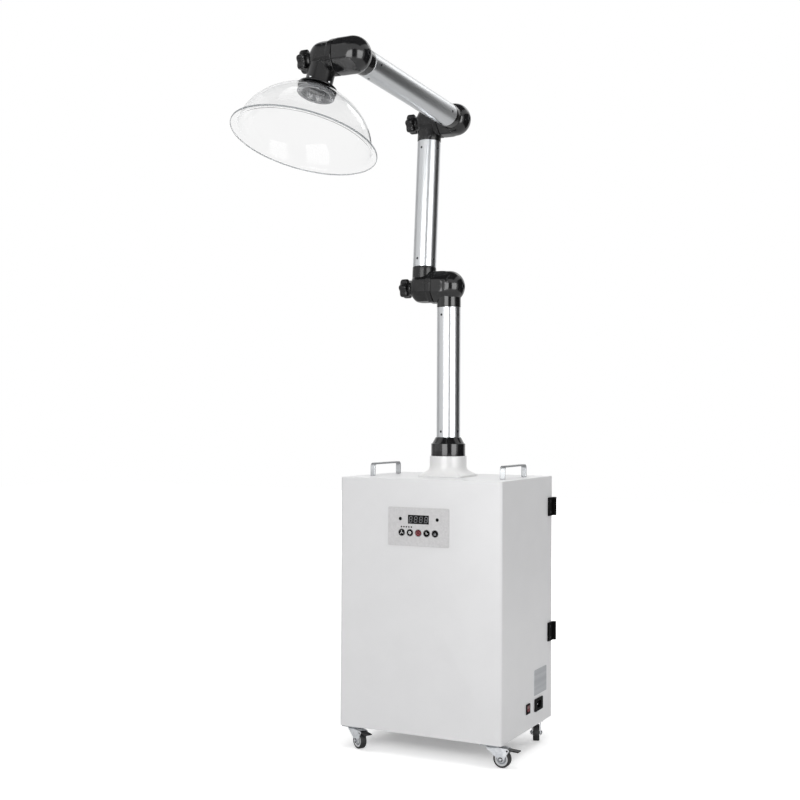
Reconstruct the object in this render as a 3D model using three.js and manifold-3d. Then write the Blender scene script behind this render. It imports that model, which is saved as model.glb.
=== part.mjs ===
// Mobile fume extraction unit: a sheet-metal cabinet on casters with a three-link tube arm and a clear hood.
// Millimetres, +Z up. The origin is the centre of the base pan's underside, and the front faces -Y.
import * as THREE from 'three';
import { mergeVertices } from 'three/addons/utils/BufferGeometryUtils.js';
import Module from 'manifold-3d';

const wasm = await Module();
wasm.setup();

// Fits
const seatGap = 0.3;              // between pieces that rest on or against each other
const runGap = 0.2;               // radial play of a pin, bolt or shaft in its hole
const cutOver = 2;                // how far a cutting tool runs past the face it cuts
const joinOver = 1;               // how far a piece runs into the one that it is joined to
const roundSteps = 24;            // sides of a large round piece
const mediumSteps = 16;           // sides of a middling round piece
const hexSides = 6;
const smallSteps = 10;            // sides of a pin, a bolt or a small hole

// Cabinet
const cabinetWidth = 390;
const cabinetDepth = 305;
const cabinetHeight = 555;
const sheet = 1.5;
const frontBendRadius = 7;
const rearReturn = 12;            // width of the folded rim round the rear opening
const panFlange = 20;
const ductHoleRadius = 32;

// Rear door
const doorStiffener = 10;         // depth of the folded rim inside the door
const doorRimPlay = 3;
const louvreWidth = 70;
const louvreHeight = 5;
const louvrePitch = 14;
const louvreRows = 8;
const louvreColumns = 3;
const louvreColumnPitch = 95;
const louvreBottom = 60;
const latchRadius = 10;
const latchInset = 32;
const latchHeight = 300;
const latchHead = 5;
const latchTongueWidth = 12;
const latchTongueThickness = 3;
const latchShaftRadius = 5;

// Hinges at the right rear edge
const hingeHeight = 42;
const hingeLeafWidth = 32;
const hingeLeafThickness = 3.5;
const hingeKnuckleRadius = 4.6;
const hingePinRadius = 2;
const hingeCentres = [485, 197];

// Filter and blower
const shelfHeight = 250;
const shelfHoleRadius = 58;
const filterSideRoom = 20;        // from the cabinet's outside to the filter, at the left and right
const filterEndRoom = 17.5;       // the same at the front and rear
const filterWidth = cabinetWidth - 2 * filterSideRoom;
const filterDepth = cabinetDepth - 2 * filterEndRoom;
const filterHeight = 190;
const filterWall = 4;
const pleatCount = 10;
const pleatFold = 18;             // upright thickness of the folded medium
const scrollHeight = 112;
const scrollWall = 3;
const scrollStartRadius = 84;
const scrollGrowth = 42;          // growth of the spiral's radius in one turn
const scrollOutletReach = 142;
const blowerX = -25;
const blowerY = -10;
const legSize = 14;
const motorRadius = 55;
const motorHeight = 100;
const motorShaftRadius = 6;
const motorShaftReach = 70;
const motorShaftPlay = 3;
const impellerRadius = 72;
const impellerEyeRadius = 46;
const impellerHeight = 80;
const impellerPlate = 3;
const impellerLift = 12;          // height of the impeller's back plate over the scroll floor
const bladeCount = 9;
const bladeThickness = 2.5;
const bladeLean = 0.62;           // turn of a blade from eye to tip, in radians
const hubRadius = 15;

// Control panel on the front
const panelWidth = 147;
const panelHeight = 84;
const panelThickness = 1.2;
const panelCornerRadius = 3;
const panelCentre = 451.5;
const panelOpeningWidth = 124;
const panelOpeningHeight = 62;
const displayWidth = 50.3;
const displayHeight = 19;
const displayCentre = 467.5;
const boardWidth = 142;
const boardHeight = 80;
const boardThickness = 1.6;
const boardStandoff = 9;          // from the inside of the front sheet to the board
const standoffRadius = 3;
const standoffInset = 5;
const buttonRadius = 7;
const buttonFlange = 0.9;
const buttonFlangeThickness = 1.2;
const buttonPitch = 20.1;
const buttonCentre = 438.4;
const buttonProud = 0.9;
const buttonTravel = 0.8;
const keySteps = 14;
const buttonNames = ['fan', 'set', 'power', 'timer', 'child_lock'];

// Power switch and inlet on the right side
const switchWidth = 22;
const switchHeight = 22;
const switchY = 1.2;
const switchZ = 47;
const bezelThickness = 2.2;
const bezelWall = 3;
const bezelLap = 2;               // how far a bezel or plate laps over the edge of its cutout
const bezelCorner = 1.5;
const switchBodyDepth = 18;
const rockerTilt = THREE.MathUtils.degToRad(8);
const rockerReach = 8;
const inletWidth = 50;
const inletHeight = 28;
const inletY = 67;
const inletZ = 45;
const inletCorner = 3;
const inletBodyWidth = 30;
const inletBodyDepth = 22;
const socketWidth = 24;
const socketHeight = 16;
const socketDepth = 17;
const socketCorner = 1.5;
const socketKeyCorner = 4.5;      // the two cut corners that key the connector
const inletPinLength = 11;
const inletPinWidth = 2;
const inletPinHeight = 4;
const inletPinSpread = 7;
const inletPinDrop = 2;           // the line and neutral pins below the middle
const earthPinRise = 3;

// Handles
const strapWidth = 12;
const strapThickness = 4;
const handleSpan = 128;           // between the middles of the two legs
const handleHeight = 29.5;
const handleBend = 9;
const handleInset = 35;           // from the cabinet's side to the middle of the strap
const handleX = cabinetWidth / 2 - handleInset;

// Swivel base of the arm
const flangeSide = 104;
const flangePlate = 4;
const flangeSquareness = 6;       // power of the superellipse that rounds the plate's corners
const flangeNeckRadius = 42;
const flangeFlare = 20;           // height of the square-to-round part above its plate
const flangeHeight = 47;
const flangeBoreRadius = 36;
const flangeStub = 14;
const flangeStubPlay = 1;
const flangeLedge = 12;
const collarRadius = 39;
const collarHeight = 28;
const collarCone = 14.5;
const collarSpigot = 15;
const collarLip = 1;              // thickness of the cone's edge at the tube

// Tube arm
const tubeRadius = 27;
const tubeWall = 2;
const jointOffset = 64;           // sideways step from tube to tube at an elbow
const joint1Height = 988.5;
const middleLength = 391;
const upperLength = 484;
const middleLean = THREE.MathUtils.degToRad(-4.24);
const upperTurn = THREE.MathUtils.degToRad(91.6);
const hoodTurn = THREE.MathUtils.degToRad(76.9);
const hoodLean = THREE.MathUtils.degToRad(-5.85);

// Elbow halves
const elbowSteps = 16;
const elbowRadius = 37.5;
const elbowFlat = 34.5;           // from the joint axis to each of the eight flats
const elbowWall = 3.5;
const elbowPole = 10;             // thickness of the ball half's pole, where the bolt head sits
const elbowEnd = 30;              // from the tube axis to the flat end under the knob
const elbowCollar = 12;           // width of the knob half's full-size collar at the mating face
const elbowWaist = 4;             // how far the rest of the knob half stands in from its collar
const neckRadius = 27.4;
const neckReach = 47;
const spigotLength = 30;
const spigotWall = 2.5;
const boltRadius = 4;
const boltHeadRadius = 7;
const boltHead = 4;
const boltHeadPlay = 0.8;
const boltHeadSink = 1;           // how far the head's face stands in from the ball
const boltEndPlay = 1;
const knobRadius = 21;
const knobLobe = 2.4;
const knobLobes = 6;
const knobThickness = 19;
const knobHubRadius = 13;
const knobHubFlare = 4;           // how much wider the hub is where it meets the grip
const knobHub = 9;
const knobBore = 22;

// Hood
const hoodRim = 181.6;            // from the joint axis to the rim plane
const hoodRimRadius = 147.6;
const hoodDomeRadius = 135;
const hoodDomeHeight = 120.5;
const hoodPoint = 1.3;            // over 1 makes the dome more conical than an ellipsoid
const hoodWall = 2.6;
const hoodBead = 4;
const hoodPlay = 0.6;             // between the spigot and the hole in the dome
const hoodFlangeRadius = 40;      // flange of the last neck, over the hole in the dome
const hoodFlange = 3;
const hoodSteps = 36;
const hoodRows = 6;
const ringRadius = 37;
const ringHeight = 30;
const ringWall = 5;

// Casters
const casterSideInset = 27;       // from the cabinet's side to the swivel axis
const casterEndInset = 24.5;      // from the cabinet's front or rear to the swivel axis
const casterX = cabinetWidth / 2 - casterSideInset;
const casterY = cabinetDepth / 2 - casterEndInset;
const casterHeight = 50;
const casterPlate = 44;
const casterPlateThickness = 2.2;
const raceRadius = 15;
const raceHeight = 4;
const kingpinRadius = 4;
const kingpinHeadRadius = 6.5;
const kingpinHead = 2;
const forkDisc = 2.5;
const forkWall = 2;
const forkRadius = 16;
const forkHeelInset = 3;          // the cheeks' upright rear edge from the disc's rim
const forkHeelDrop = 1.5;
const pedalLugWall = 1;
const wheelRadius = 19;
const wheelWidth = 15;
const wheelSide = 0.8;            // play between the wheel and each fork cheek
const wheelChamfer = 2;
const axleRadius = 3;
const axleHeadRadius = 4.8;
const axleHead = 1.6;
const axleEye = 6.5;
const trail = 20;
const pedalLength = 24;
const pedalWidth = 15.4;
const pedalThickness = 3;
const pedalAhead = 14;            // from the axle to the pedal's pin
const pedalBoss = 3.5;
const pedalPin = 2;
const pedalRise = 1.5;            // from the pin to the middle of the pedal plate
const casters = [
  { name: 'front_right', x: casterX, y: -casterY, turn: 0, brake: true },
  { name: 'front_left', x: -casterX, y: -casterY, turn: -30, brake: true },
  { name: 'rear_right', x: casterX, y: casterY, turn: -70, brake: false },
  { name: 'rear_left', x: -casterX, y: casterY, turn: -50, brake: false },
];

// Finishes
const powderWhite = { color: 0xe9e9ea, roughness: 0.42, metalness: 0 };
const darkSteel = { color: 0x8d9093, roughness: 0.4, metalness: 0.9 };
const zinc = { color: 0xc6c9cc, roughness: 0.35, metalness: 0.9 };
const aluminium = { color: 0xcfd1d3, roughness: 0.25, metalness: 1 };
const blackNylon = { color: 0x1b1b1c, roughness: 0.4, metalness: 0 };
const whiteNylon = { color: 0xe6e6e6, roughness: 0.45, metalness: 0 };
const greyPanel = { color: 0xc4c4c5, roughness: 0.5, metalness: 0 };
const greyNylon = { color: 0x9a9b9c, roughness: 0.5, metalness: 0 };
const redPlastic = { color: 0xa01c28, roughness: 0.35, metalness: 0 };
const clearAcrylic = { color: 0xf4f7f8, roughness: 0.05, metalness: 0, transparent: true, opacity: 0.25 };
const filterPaper = { color: 0xf1efe8, roughness: 0.9, metalness: 0 };
const circuitGreen = { color: 0x1d5a3a, roughness: 0.6, metalness: 0 };
const blackRubber = { color: 0x161616, roughness: 0.7, metalness: 0 };

// A closed geometry becomes a solid: shared corners are merged and the faces are turned outwards.
function solid(geometry) {
  const bare = new THREE.BufferGeometry();
  bare.setAttribute('position', geometry.getAttribute('position').clone());
  if (geometry.index) bare.setIndex(geometry.index.clone());
  const merged = mergeVertices(bare, 1e-4);
  const points = merged.getAttribute('position').array;
  const source = merged.index.array;
  const faces = [];
  let volume = 0;
  const [a, b, c] = [new THREE.Vector3(), new THREE.Vector3(), new THREE.Vector3()];
  for (let i = 0; i < source.length; i += 3) {
    const [p, q, r] = [source[i], source[i + 1], source[i + 2]];
    if (p === q || q === r || r === p) continue;
    faces.push(p, q, r);
    a.fromArray(points, 3 * p);
    b.fromArray(points, 3 * q);
    c.fromArray(points, 3 * r);
    volume += a.dot(b.clone().cross(c));
  }
  if (volume < 0) faces.reverse();
  const vertProperties = new Float32Array(points);
  const triVerts = new Uint32Array(faces);
  return new wasm.Manifold(new wasm.Mesh({ numProp: 3, vertProperties, triVerts }));
}

function geometryOf(body) {
  const { vertProperties, triVerts } = body.getMesh();
  const geometry = new THREE.BufferGeometry();
  geometry.setAttribute('position', new THREE.BufferAttribute(new Float32Array(vertProperties), 3));
  geometry.setIndex(new THREE.BufferAttribute(new Uint32Array(triVerts), 1));
  geometry.computeVertexNormals();
  return geometry;
}

function addMesh(parent, name, body, look) {
  const mesh = new THREE.Mesh(geometryOf(body), new THREE.MeshStandardMaterial(look));
  mesh.name = name;
  parent.add(mesh);
  return mesh;
}

function join(...bodies) {
  return bodies.reduce((whole, body) => whole.add(body));
}

function cut(body, ...tools) {
  return tools.reduce((rest, tool) => rest.subtract(tool), body);
}

function box(x0, x1, y0, y1, z0, z1) {
  const geometry = new THREE.BoxGeometry(x1 - x0, y1 - y0, z1 - z0);
  return solid(geometry.translate((x0 + x1) / 2, (y0 + y1) / 2, (z0 + z1) / 2));
}

// A solid of revolution about an axis, from [radius, height] pairs that run round the section once.
function revolve(profile, axis = 'z', steps = roundSteps) {
  const first = profile[0];
  const last = profile[profile.length - 1];
  const closed = first[0] < 1e-9 && last[0] < 1e-9 ? profile : [...profile, first];
  const geometry = new THREE.LatheGeometry(closed.map(([r, h]) => new THREE.Vector2(r, h)), steps);
  if (axis === 'z') geometry.rotateX(Math.PI / 2);
  if (axis === 'x') geometry.rotateZ(-Math.PI / 2);
  return solid(geometry);
}

function rod(radius, from, to, axis = 'z', steps = roundSteps) {
  return revolve([[0, from], [radius, from], [radius, to], [0, to]], axis, steps);
}

// A faceted hole lets a pin turn when its flats, not its corners, lie at the pin's radius plus the play.
function holeRadius(pinRadius, steps = smallSteps) {
  return (pinRadius + runGap) / Math.cos(Math.PI / steps);
}

function pipe(outer, inner, from, to, axis = 'z', steps = roundSteps) {
  return revolve([[inner, from], [outer, from], [outer, to], [inner, to]], axis, steps);
}

function extrude(shape, depth, arcSteps = 3) {
  const options = { depth, steps: 1, bevelEnabled: false, curveSegments: arcSteps };
  return new THREE.ExtrudeGeometry(shape, options);
}

// A rectangle centred on the origin, with its own radius at each corner, starting at the lower right.
function roundedRectangle(width, height, radii) {
  const [lowerRight, upperRight, upperLeft, lowerLeft] = radii;
  const [x, y] = [width / 2, height / 2];
  const shape = new THREE.Shape();
  shape.moveTo(-x + lowerLeft, -y);
  shape.lineTo(x - lowerRight, -y);
  if (lowerRight > 0) shape.absarc(x - lowerRight, -y + lowerRight, lowerRight, -Math.PI / 2, 0);
  shape.lineTo(x, y - upperRight);
  if (upperRight > 0) shape.absarc(x - upperRight, y - upperRight, upperRight, 0, Math.PI / 2);
  shape.lineTo(-x + upperLeft, y);
  if (upperLeft > 0) shape.absarc(-x + upperLeft, y - upperLeft, upperLeft, Math.PI / 2, Math.PI);
  shape.lineTo(-x, -y + lowerLeft);
  if (lowerLeft > 0) shape.absarc(-x + lowerLeft, -y + lowerLeft, lowerLeft, Math.PI, 1.5 * Math.PI);
  return shape;
}

function evenRectangle(width, height, radius) {
  return roundedRectangle(width, height, [radius, radius, radius, radius]);
}

// A plate whose outline is drawn in X and Z, standing between two depths in Y.
function uprightPlate(shape, y0, y1, x = 0, z = 0) {
  return solid(extrude(shape, y1 - y0).rotateX(Math.PI / 2).translate(x, y1, z));
}

// A plate whose outline is drawn in Y and Z, standing between two places in X.
function sidePlate(shape, x0, x1, y = 0, z = 0) {
  const geometry = extrude(shape, x1 - x0).rotateZ(Math.PI / 2).rotateY(Math.PI / 2);
  return solid(geometry.translate(x0, y, z));
}

const part = new THREE.Group();

// Faces of the cabinet
const rightFace = cabinetWidth / 2;
const frontFace = -cabinetDepth / 2;
const rearFace = cabinetDepth / 2;
const doorFront = rearFace - sheet;
const shellRear = doorFront - seatGap;
const insideTop = cabinetHeight - sheet;
const insideRight = rightFace - sheet;
const insideFront = frontFace + sheet;

// A standing block with the cabinet's outline, drawn in by an inset and reaching back to a given depth.
function cabinetBlock(inset, rear, z0, z1) {
  const radius = Math.max(frontBendRadius - inset, 0.5);
  const depth = rear - frontFace - inset;
  const shape = roundedRectangle(cabinetWidth - 2 * inset, depth, [radius, 0, 0, radius]);
  return solid(extrude(shape, z1 - z0).translate(0, rear - depth / 2, z0));
}

function addCabinetShell() {
  const rim = rightFace - sheet - rearReturn;
  const shell = cut(
    cabinetBlock(0, shellRear, 0, cabinetHeight),
    cabinetBlock(sheet, shellRear - sheet, -cutOver, insideTop),
    box(-rim, rim, shellRear - sheet - cutOver, shellRear + cutOver, -cutOver, insideTop - rearReturn),
    rod(ductHoleRadius, insideTop - cutOver, cabinetHeight + cutOver),
    uprightPlate(evenRectangle(panelOpeningWidth, panelOpeningHeight, panelCornerRadius),
      frontFace - cutOver, insideFront + cutOver, 0, panelCentre),
    box(insideRight - cutOver, rightFace + cutOver, switchY - switchCut / 2, switchY + switchCut / 2,
      switchZ - switchCutHeight / 2, switchZ + switchCutHeight / 2),
    box(insideRight - cutOver, rightFace + cutOver, inletY - inletCut / 2, inletY + inletCut / 2,
      inletZ - inletCutHeight / 2, inletZ + inletCutHeight / 2),
  );
  addMesh(part, 'cabinet_shell', shell, powderWhite);
}

function addBasePan() {
  const inset = sheet + seatGap;
  const panRear = shellRear - sheet - seatGap;
  const pan = cut(
    cabinetBlock(inset, panRear, 0, panFlange),
    cabinetBlock(inset + sheet, panRear - sheet, sheet, panFlange + cutOver),
  );
  addMesh(part, 'base_pan', pan, powderWhite);
}

const switchCut = switchWidth - 2 * bezelLap;
const switchCutHeight = switchHeight - 2 * bezelLap;
const inletCut = inletBodyWidth + 2 * seatGap;
const inletCutHeight = inletHeight - 2 * bezelLap;

addCabinetShell();
addBasePan();

// The shelf between the filter and the blower is folded down along its sides and front.
function addShelf() {
  const inset = sheet + seatGap;
  const rear = doorFront - doorStiffener - doorRimPlay;
  const bottom = shelfHeight - panFlange;
  const shelf = cut(
    cabinetBlock(inset, rear, bottom, shelfHeight),
    cabinetBlock(inset + sheet, rear + cutOver, bottom - cutOver, shelfHeight - sheet),
    rod(shelfHoleRadius, bottom, shelfHeight + cutOver).translate([blowerX, blowerY, 0]),
  );
  addMesh(part, 'filter_shelf', shelf, powderWhite);
}

// The filter is an open frame round one sheet of medium that is folded into tall pleats.
function addFilter() {
  const bottom = shelfHeight + seatGap;
  const [innerX, innerY] = [filterWidth / 2 - filterWall, filterDepth / 2 - filterWall];
  const pitch = (2 * innerX) / pleatCount;
  const low = pleatFold / 2;
  const high = filterHeight - pleatFold / 2;
  const folds = Array.from({ length: 2 * pleatCount + 1 }, (_, i) => {
    const x = -innerX + (i * pitch) / 2;
    return [x, i % 2 ? high : low];
  });
  const shape = new THREE.Shape();
  shape.moveTo(-innerX - joinOver, low - pleatFold / 2);
  folds.forEach(([x, z]) => shape.lineTo(x, z - pleatFold / 2));
  shape.lineTo(innerX + joinOver, low - pleatFold / 2);
  shape.lineTo(innerX + joinOver, low + pleatFold / 2);
  folds.reverse().forEach(([x, z]) => shape.lineTo(x, z + pleatFold / 2));
  shape.lineTo(-innerX - joinOver, low + pleatFold / 2);
  const frame = cut(
    box(-filterWidth / 2, filterWidth / 2, -filterDepth / 2, filterDepth / 2, bottom, bottom + filterHeight),
    box(-innerX, innerX, -innerY, innerY, bottom - cutOver, bottom + filterHeight + cutOver),
  );
  const pleats = uprightPlate(shape, -innerY - joinOver, innerY + joinOver, 0, bottom);
  addMesh(part, 'filter_cassette', join(frame, pleats), filterPaper);
}

addShelf();
addFilter();

// The scroll opens out by one growth in a turn and leaves towards the rear.
function scrollShape(inset) {
  const turnSteps = 20;
  const shape = new THREE.Shape();
  for (let i = 0; i <= turnSteps; i += 1) {
    const turn = i / turnSteps;
    const radius = scrollStartRadius + scrollGrowth * turn - inset;
    const angle = Math.PI - 2 * Math.PI * turn;
    const x = radius * Math.cos(angle);
    const y = radius * Math.sin(angle);
    if (i === 0) shape.moveTo(x, y);
    else shape.lineTo(x, y);
  }
  return shape;
}

function addBlower() {
  const top = shelfHeight - sheet - seatGap;
  const floor = top - scrollHeight;
  const mouthOuter = -(scrollStartRadius + scrollGrowth);
  const mouthInner = -scrollStartRadius / 3;
  const centre = [blowerX, blowerY, 0];
  const outside = solid(extrude(scrollShape(0), scrollHeight).translate(0, 0, floor));
  const inside = solid(
    extrude(scrollShape(scrollWall), scrollHeight - 2 * scrollWall).translate(0, 0, floor + scrollWall),
  );
  const duct = box(mouthOuter, mouthInner, 0, scrollOutletReach, floor, top);
  const ductInside = box(
    mouthOuter + scrollWall, mouthInner - scrollWall,
    -scrollWall, scrollOutletReach + cutOver,
    floor + scrollWall, top - scrollWall,
  );
  const legs = [-1, 1].flatMap((sx) => [-1, 1].map((sy) => {
    const x = sx * (motorRadius + legSize);
    const y = sy * (motorRadius + legSize / 2) / 2;
    return box(x - legSize / 2, x + legSize / 2, y - legSize / 2, y + legSize / 2,
      sheet + seatGap, floor + scrollWall / 2);
  }));
  const housing = cut(
    join(outside, duct, ...legs),
    inside,
    ductInside,
    rod(shelfHoleRadius, top - scrollWall - cutOver, top + cutOver),
    rod(motorShaftRadius + motorShaftPlay, floor - cutOver, floor + scrollWall + cutOver),
  );
  addMesh(part, 'blower_housing', housing.translate(centre), darkSteel);

  const motorTop = floor - seatGap;
  const motor = join(
    rod(motorRadius, motorTop - motorHeight, motorTop),
    rod(motorShaftRadius, motorTop - 1, motorTop + motorShaftReach),
    rod(motorRadius / 2, sheet + seatGap, motorTop - motorHeight + 1),
  );
  addMesh(part, 'blower_motor', motor.translate(centre), darkSteel);

  const plateBottom = floor + scrollWall + impellerLift;
  const plateTop = plateBottom + impellerPlate;
  const shroudTop = plateBottom + impellerHeight;
  const bladeSteps = 2;
  const bladeShape = new THREE.Shape();
  const bladePoint = (i, side) => {
    const t = i / bladeSteps;
    const radius = impellerEyeRadius - 6 + t * (impellerRadius - 1 - impellerEyeRadius + 6);
    const angle = -bladeLean * t;
    const x = radius * Math.cos(angle) - side * Math.sin(angle);
    const y = radius * Math.sin(angle) + side * Math.cos(angle);
    return [x, y];
  };
  for (let i = 0; i <= bladeSteps; i += 1) {
    const [x, y] = bladePoint(i, -bladeThickness / 2);
    if (i === 0) bladeShape.moveTo(x, y);
    else bladeShape.lineTo(x, y);
  }
  for (let i = bladeSteps; i >= 0; i -= 1) bladeShape.lineTo(...bladePoint(i, bladeThickness / 2));
  const bladeHeight = impellerHeight - impellerPlate;
  const blades = Array.from({ length: bladeCount }, (_, i) => {
    const geometry = extrude(bladeShape, bladeHeight).translate(0, 0, plateTop - impellerPlate / 2);
    return solid(geometry.rotateZ((2 * Math.PI * i) / bladeCount));
  });
  const impeller = cut(
    join(
      rod(impellerRadius, plateBottom, plateTop),
      pipe(impellerRadius, impellerEyeRadius, shroudTop - impellerPlate, shroudTop),
      rod(hubRadius, plateBottom, motorTop + motorShaftReach + 4),
      ...blades,
    ),
    rod(holeRadius(motorShaftRadius, roundSteps), plateBottom - cutOver, motorTop + motorShaftReach + 1),
  );
  addMesh(part, 'impeller', impeller.translate(centre), aluminium);
}

addBlower();

// Front panel: an overlay plate, the display and five keys, all carried by a board behind the sheet.
const panelBack = frontFace - seatGap;
const panelFront = panelBack - panelThickness;
const boardFront = insideFront + boardStandoff;

function addPanel() {
  const keyHole = rod(buttonRadius + runGap, panelFront - cutOver, panelBack + cutOver, 'y', keySteps);
  const keyHoles = buttonNames.map((_, i) => keyHole.translate([buttonX(i), 0, buttonCentre]));
  const [windowX, windowZ] = [displayWidth / 2 + runGap, displayHeight / 2 + runGap];
  const window = box(-windowX, windowX, panelFront - cutOver, panelBack + cutOver,
    displayCentre - windowZ, displayCentre + windowZ);
  const plate = uprightPlate(evenRectangle(panelWidth, panelHeight, panelCornerRadius),
    panelFront, panelBack, 0, panelCentre);
  addMesh(part, 'control_panel', cut(plate, window, ...keyHoles), greyPanel);

  const display = box(-displayWidth / 2, displayWidth / 2, panelFront + seatGap, boardFront - seatGap,
    displayCentre - displayHeight / 2, displayCentre + displayHeight / 2);
  addMesh(part, 'display_module', display, blackNylon);

  const [postX, postZ] = [boardWidth / 2 - standoffInset, boardHeight / 2 - standoffInset];
  const post = rod(standoffRadius, insideFront + seatGap, boardFront + joinOver, 'y', smallSteps);
  const posts = [-1, 1].flatMap((sx) => [-1, 1].map(
    (sz) => post.translate([sx * postX, 0, panelCentre + sz * postZ]),
  ));
  const board = box(-boardWidth / 2, boardWidth / 2, boardFront, boardFront + boardThickness,
    panelCentre - boardHeight / 2, panelCentre + boardHeight / 2);
  addMesh(part, 'control_board', join(board, ...posts), circuitGreen);

  const flangeFront = panelBack + seatGap;
  const flangeBack = flangeFront + buttonFlangeThickness;
  const keyEnd = boardFront - seatGap - buttonTravel;
  buttonNames.forEach((name, i) => {
    const key = revolve([
      [0, panelFront - buttonProud],
      [buttonRadius, panelFront - buttonProud],
      [buttonRadius, flangeFront],
      [buttonRadius + buttonFlange, flangeFront],
      [buttonRadius + buttonFlange, flangeBack],
      [buttonRadius / 2, flangeBack],
      [buttonRadius / 2, keyEnd],
      [0, keyEnd],
    ], 'y', keySteps);
    const look = name === 'power' ? redPlastic : blackNylon;
    addMesh(part, `${name}_button`, key, look).position.set(buttonX(i), 0, buttonCentre);
  });
}

function buttonX(i) {
  return (i - (buttonNames.length - 1) / 2) * buttonPitch;
}

addPanel();

// Rocker switch: the bezel hangs in the side sheet, and the rocker tips on an axis along Y.
const sideSeat = rightFace + seatGap;

function addSwitch() {
  const bodyWidth = switchCut - 2 * seatGap;
  const bodyHeight = switchCutHeight - 2 * seatGap;
  const wellWidth = switchWidth - 2 * bezelWall;
  const wellHeight = switchHeight - 2 * bezelWall;
  const wellFloor = insideRight - switchBodyDepth + bezelWall;
  const plateShape = evenRectangle(switchWidth, switchHeight, bezelCorner);
  const bezelFace = sideSeat + bezelThickness;
  const bezel = cut(
    join(
      sidePlate(plateShape, sideSeat, bezelFace, switchY, switchZ),
      box(insideRight - switchBodyDepth, sideSeat + joinOver,
        switchY - bodyWidth / 2, switchY + bodyWidth / 2,
        switchZ - bodyHeight / 2, switchZ + bodyHeight / 2),
    ),
    box(wellFloor, bezelFace + cutOver, switchY - wellWidth / 2, switchY + wellWidth / 2,
      switchZ - wellHeight / 2, switchZ + wellHeight / 2),
  );
  addMesh(part, 'switch_bezel', bezel, blackNylon);

  const rockerWidth = wellWidth - 2 * seatGap;
  const half = (wellHeight / 2 - seatGap - rockerReach * Math.sin(rockerTilt)) / Math.cos(rockerTilt);
  const dip = rockerReach - half * Math.tan(rockerTilt);
  const shape = new THREE.Shape();
  shape.moveTo(0, -half / 2);
  shape.lineTo(rockerReach, -half);
  shape.lineTo(dip, 0);
  shape.lineTo(rockerReach, half);
  shape.lineTo(0, half / 2);
  const geometry = extrude(shape, rockerWidth).rotateX(Math.PI / 2).translate(0, rockerWidth / 2, 0);
  const pivot = new THREE.Group();
  pivot.position.set(bezelFace - dip, switchY, switchZ);
  pivot.rotation.y = -rockerTilt;
  part.add(pivot);
  addMesh(pivot, 'power_rocker', solid(geometry), redPlastic);
}

function addInlet() {
  const bodyHeight = inletCutHeight - 2 * seatGap;
  const faceX = sideSeat + bezelThickness;
  const socketFloor = faceX - socketDepth;
  const corners = [socketCorner, socketKeyCorner, socketKeyCorner, socketCorner];
  const socketShape = roundedRectangle(socketWidth, socketHeight, corners);
  const pinAt = (y, z) => box(socketFloor - joinOver, socketFloor + inletPinLength,
    inletY + y - inletPinWidth / 2, inletY + y + inletPinWidth / 2,
    inletZ + z - inletPinHeight / 2, inletZ + z + inletPinHeight / 2);
  const inlet = join(
    cut(
      join(
        sidePlate(evenRectangle(inletWidth, inletHeight, inletCorner), sideSeat, faceX, inletY, inletZ),
        box(insideRight - inletBodyDepth, sideSeat + joinOver,
          inletY - inletBodyWidth / 2, inletY + inletBodyWidth / 2,
          inletZ - bodyHeight / 2, inletZ + bodyHeight / 2),
      ),
      sidePlate(socketShape, socketFloor, faceX + cutOver, inletY, inletZ),
    ),
    pinAt(-inletPinSpread, -inletPinDrop),
    pinAt(inletPinSpread, -inletPinDrop),
    pinAt(0, earthPinRise),
  );
  addMesh(part, 'power_inlet', inlet, blackNylon);
}

addSwitch();
addInlet();

// Handles: a flat strap bent into a low bridge that runs from front to back.
function addHandle(name, x) {
  const outer = handleSpan / 2 + strapThickness / 2;
  const inner = outer - strapThickness;
  const innerBend = handleBend - strapThickness;
  const top = handleHeight;
  const under = top - strapThickness;
  const shape = new THREE.Shape();
  shape.moveTo(-outer, 0);
  shape.lineTo(-outer, top - handleBend);
  shape.absarc(-outer + handleBend, top - handleBend, handleBend, Math.PI, Math.PI / 2, true);
  shape.lineTo(outer - handleBend, top);
  shape.absarc(outer - handleBend, top - handleBend, handleBend, Math.PI / 2, 0, true);
  shape.lineTo(outer, 0);
  shape.lineTo(inner, 0);
  shape.lineTo(inner, under - innerBend);
  shape.absarc(inner - innerBend, under - innerBend, innerBend, 0, Math.PI / 2);
  shape.lineTo(-inner + innerBend, under);
  shape.absarc(-inner + innerBend, under - innerBend, innerBend, Math.PI / 2, Math.PI);
  shape.lineTo(-inner, 0);
  const strap = sidePlate(shape, x - strapWidth / 2, x + strapWidth / 2, 0, cabinetHeight + seatGap);
  addMesh(part, name, strap, zinc);
}

addHandle('left_handle', -handleX);
addHandle('right_handle', handleX);

// A closed skin through rings of equally many points, with the first and the last ring capped.
function loft(rings) {
  const count = rings[0].length;
  const faces = [];
  for (let k = 0; k + 1 < rings.length; k += 1) {
    for (let i = 0; i < count; i += 1) {
      const low = k * count + i;
      const lowNext = k * count + ((i + 1) % count);
      faces.push(low, lowNext, lowNext + count, low, lowNext + count, low + count);
    }
  }
  const lastRing = (rings.length - 1) * count;
  for (let i = 1; i + 1 < count; i += 1) {
    faces.push(0, i + 1, i);
    faces.push(lastRing, lastRing + i, lastRing + i + 1);
  }
  const geometry = new THREE.BufferGeometry().setFromPoints(rings.flat());
  geometry.setIndex(faces);
  return solid(geometry);
}

// Inlet flange: a square plate that runs up into a round neck. The corners follow a superellipse.
const flangeSeat = cabinetHeight + seatGap;
const flangeTop = cabinetHeight + flangeHeight;
const ledgeTop = cabinetHeight + flangeLedge;
const ductRadius = tubeRadius - tubeWall;

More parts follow.
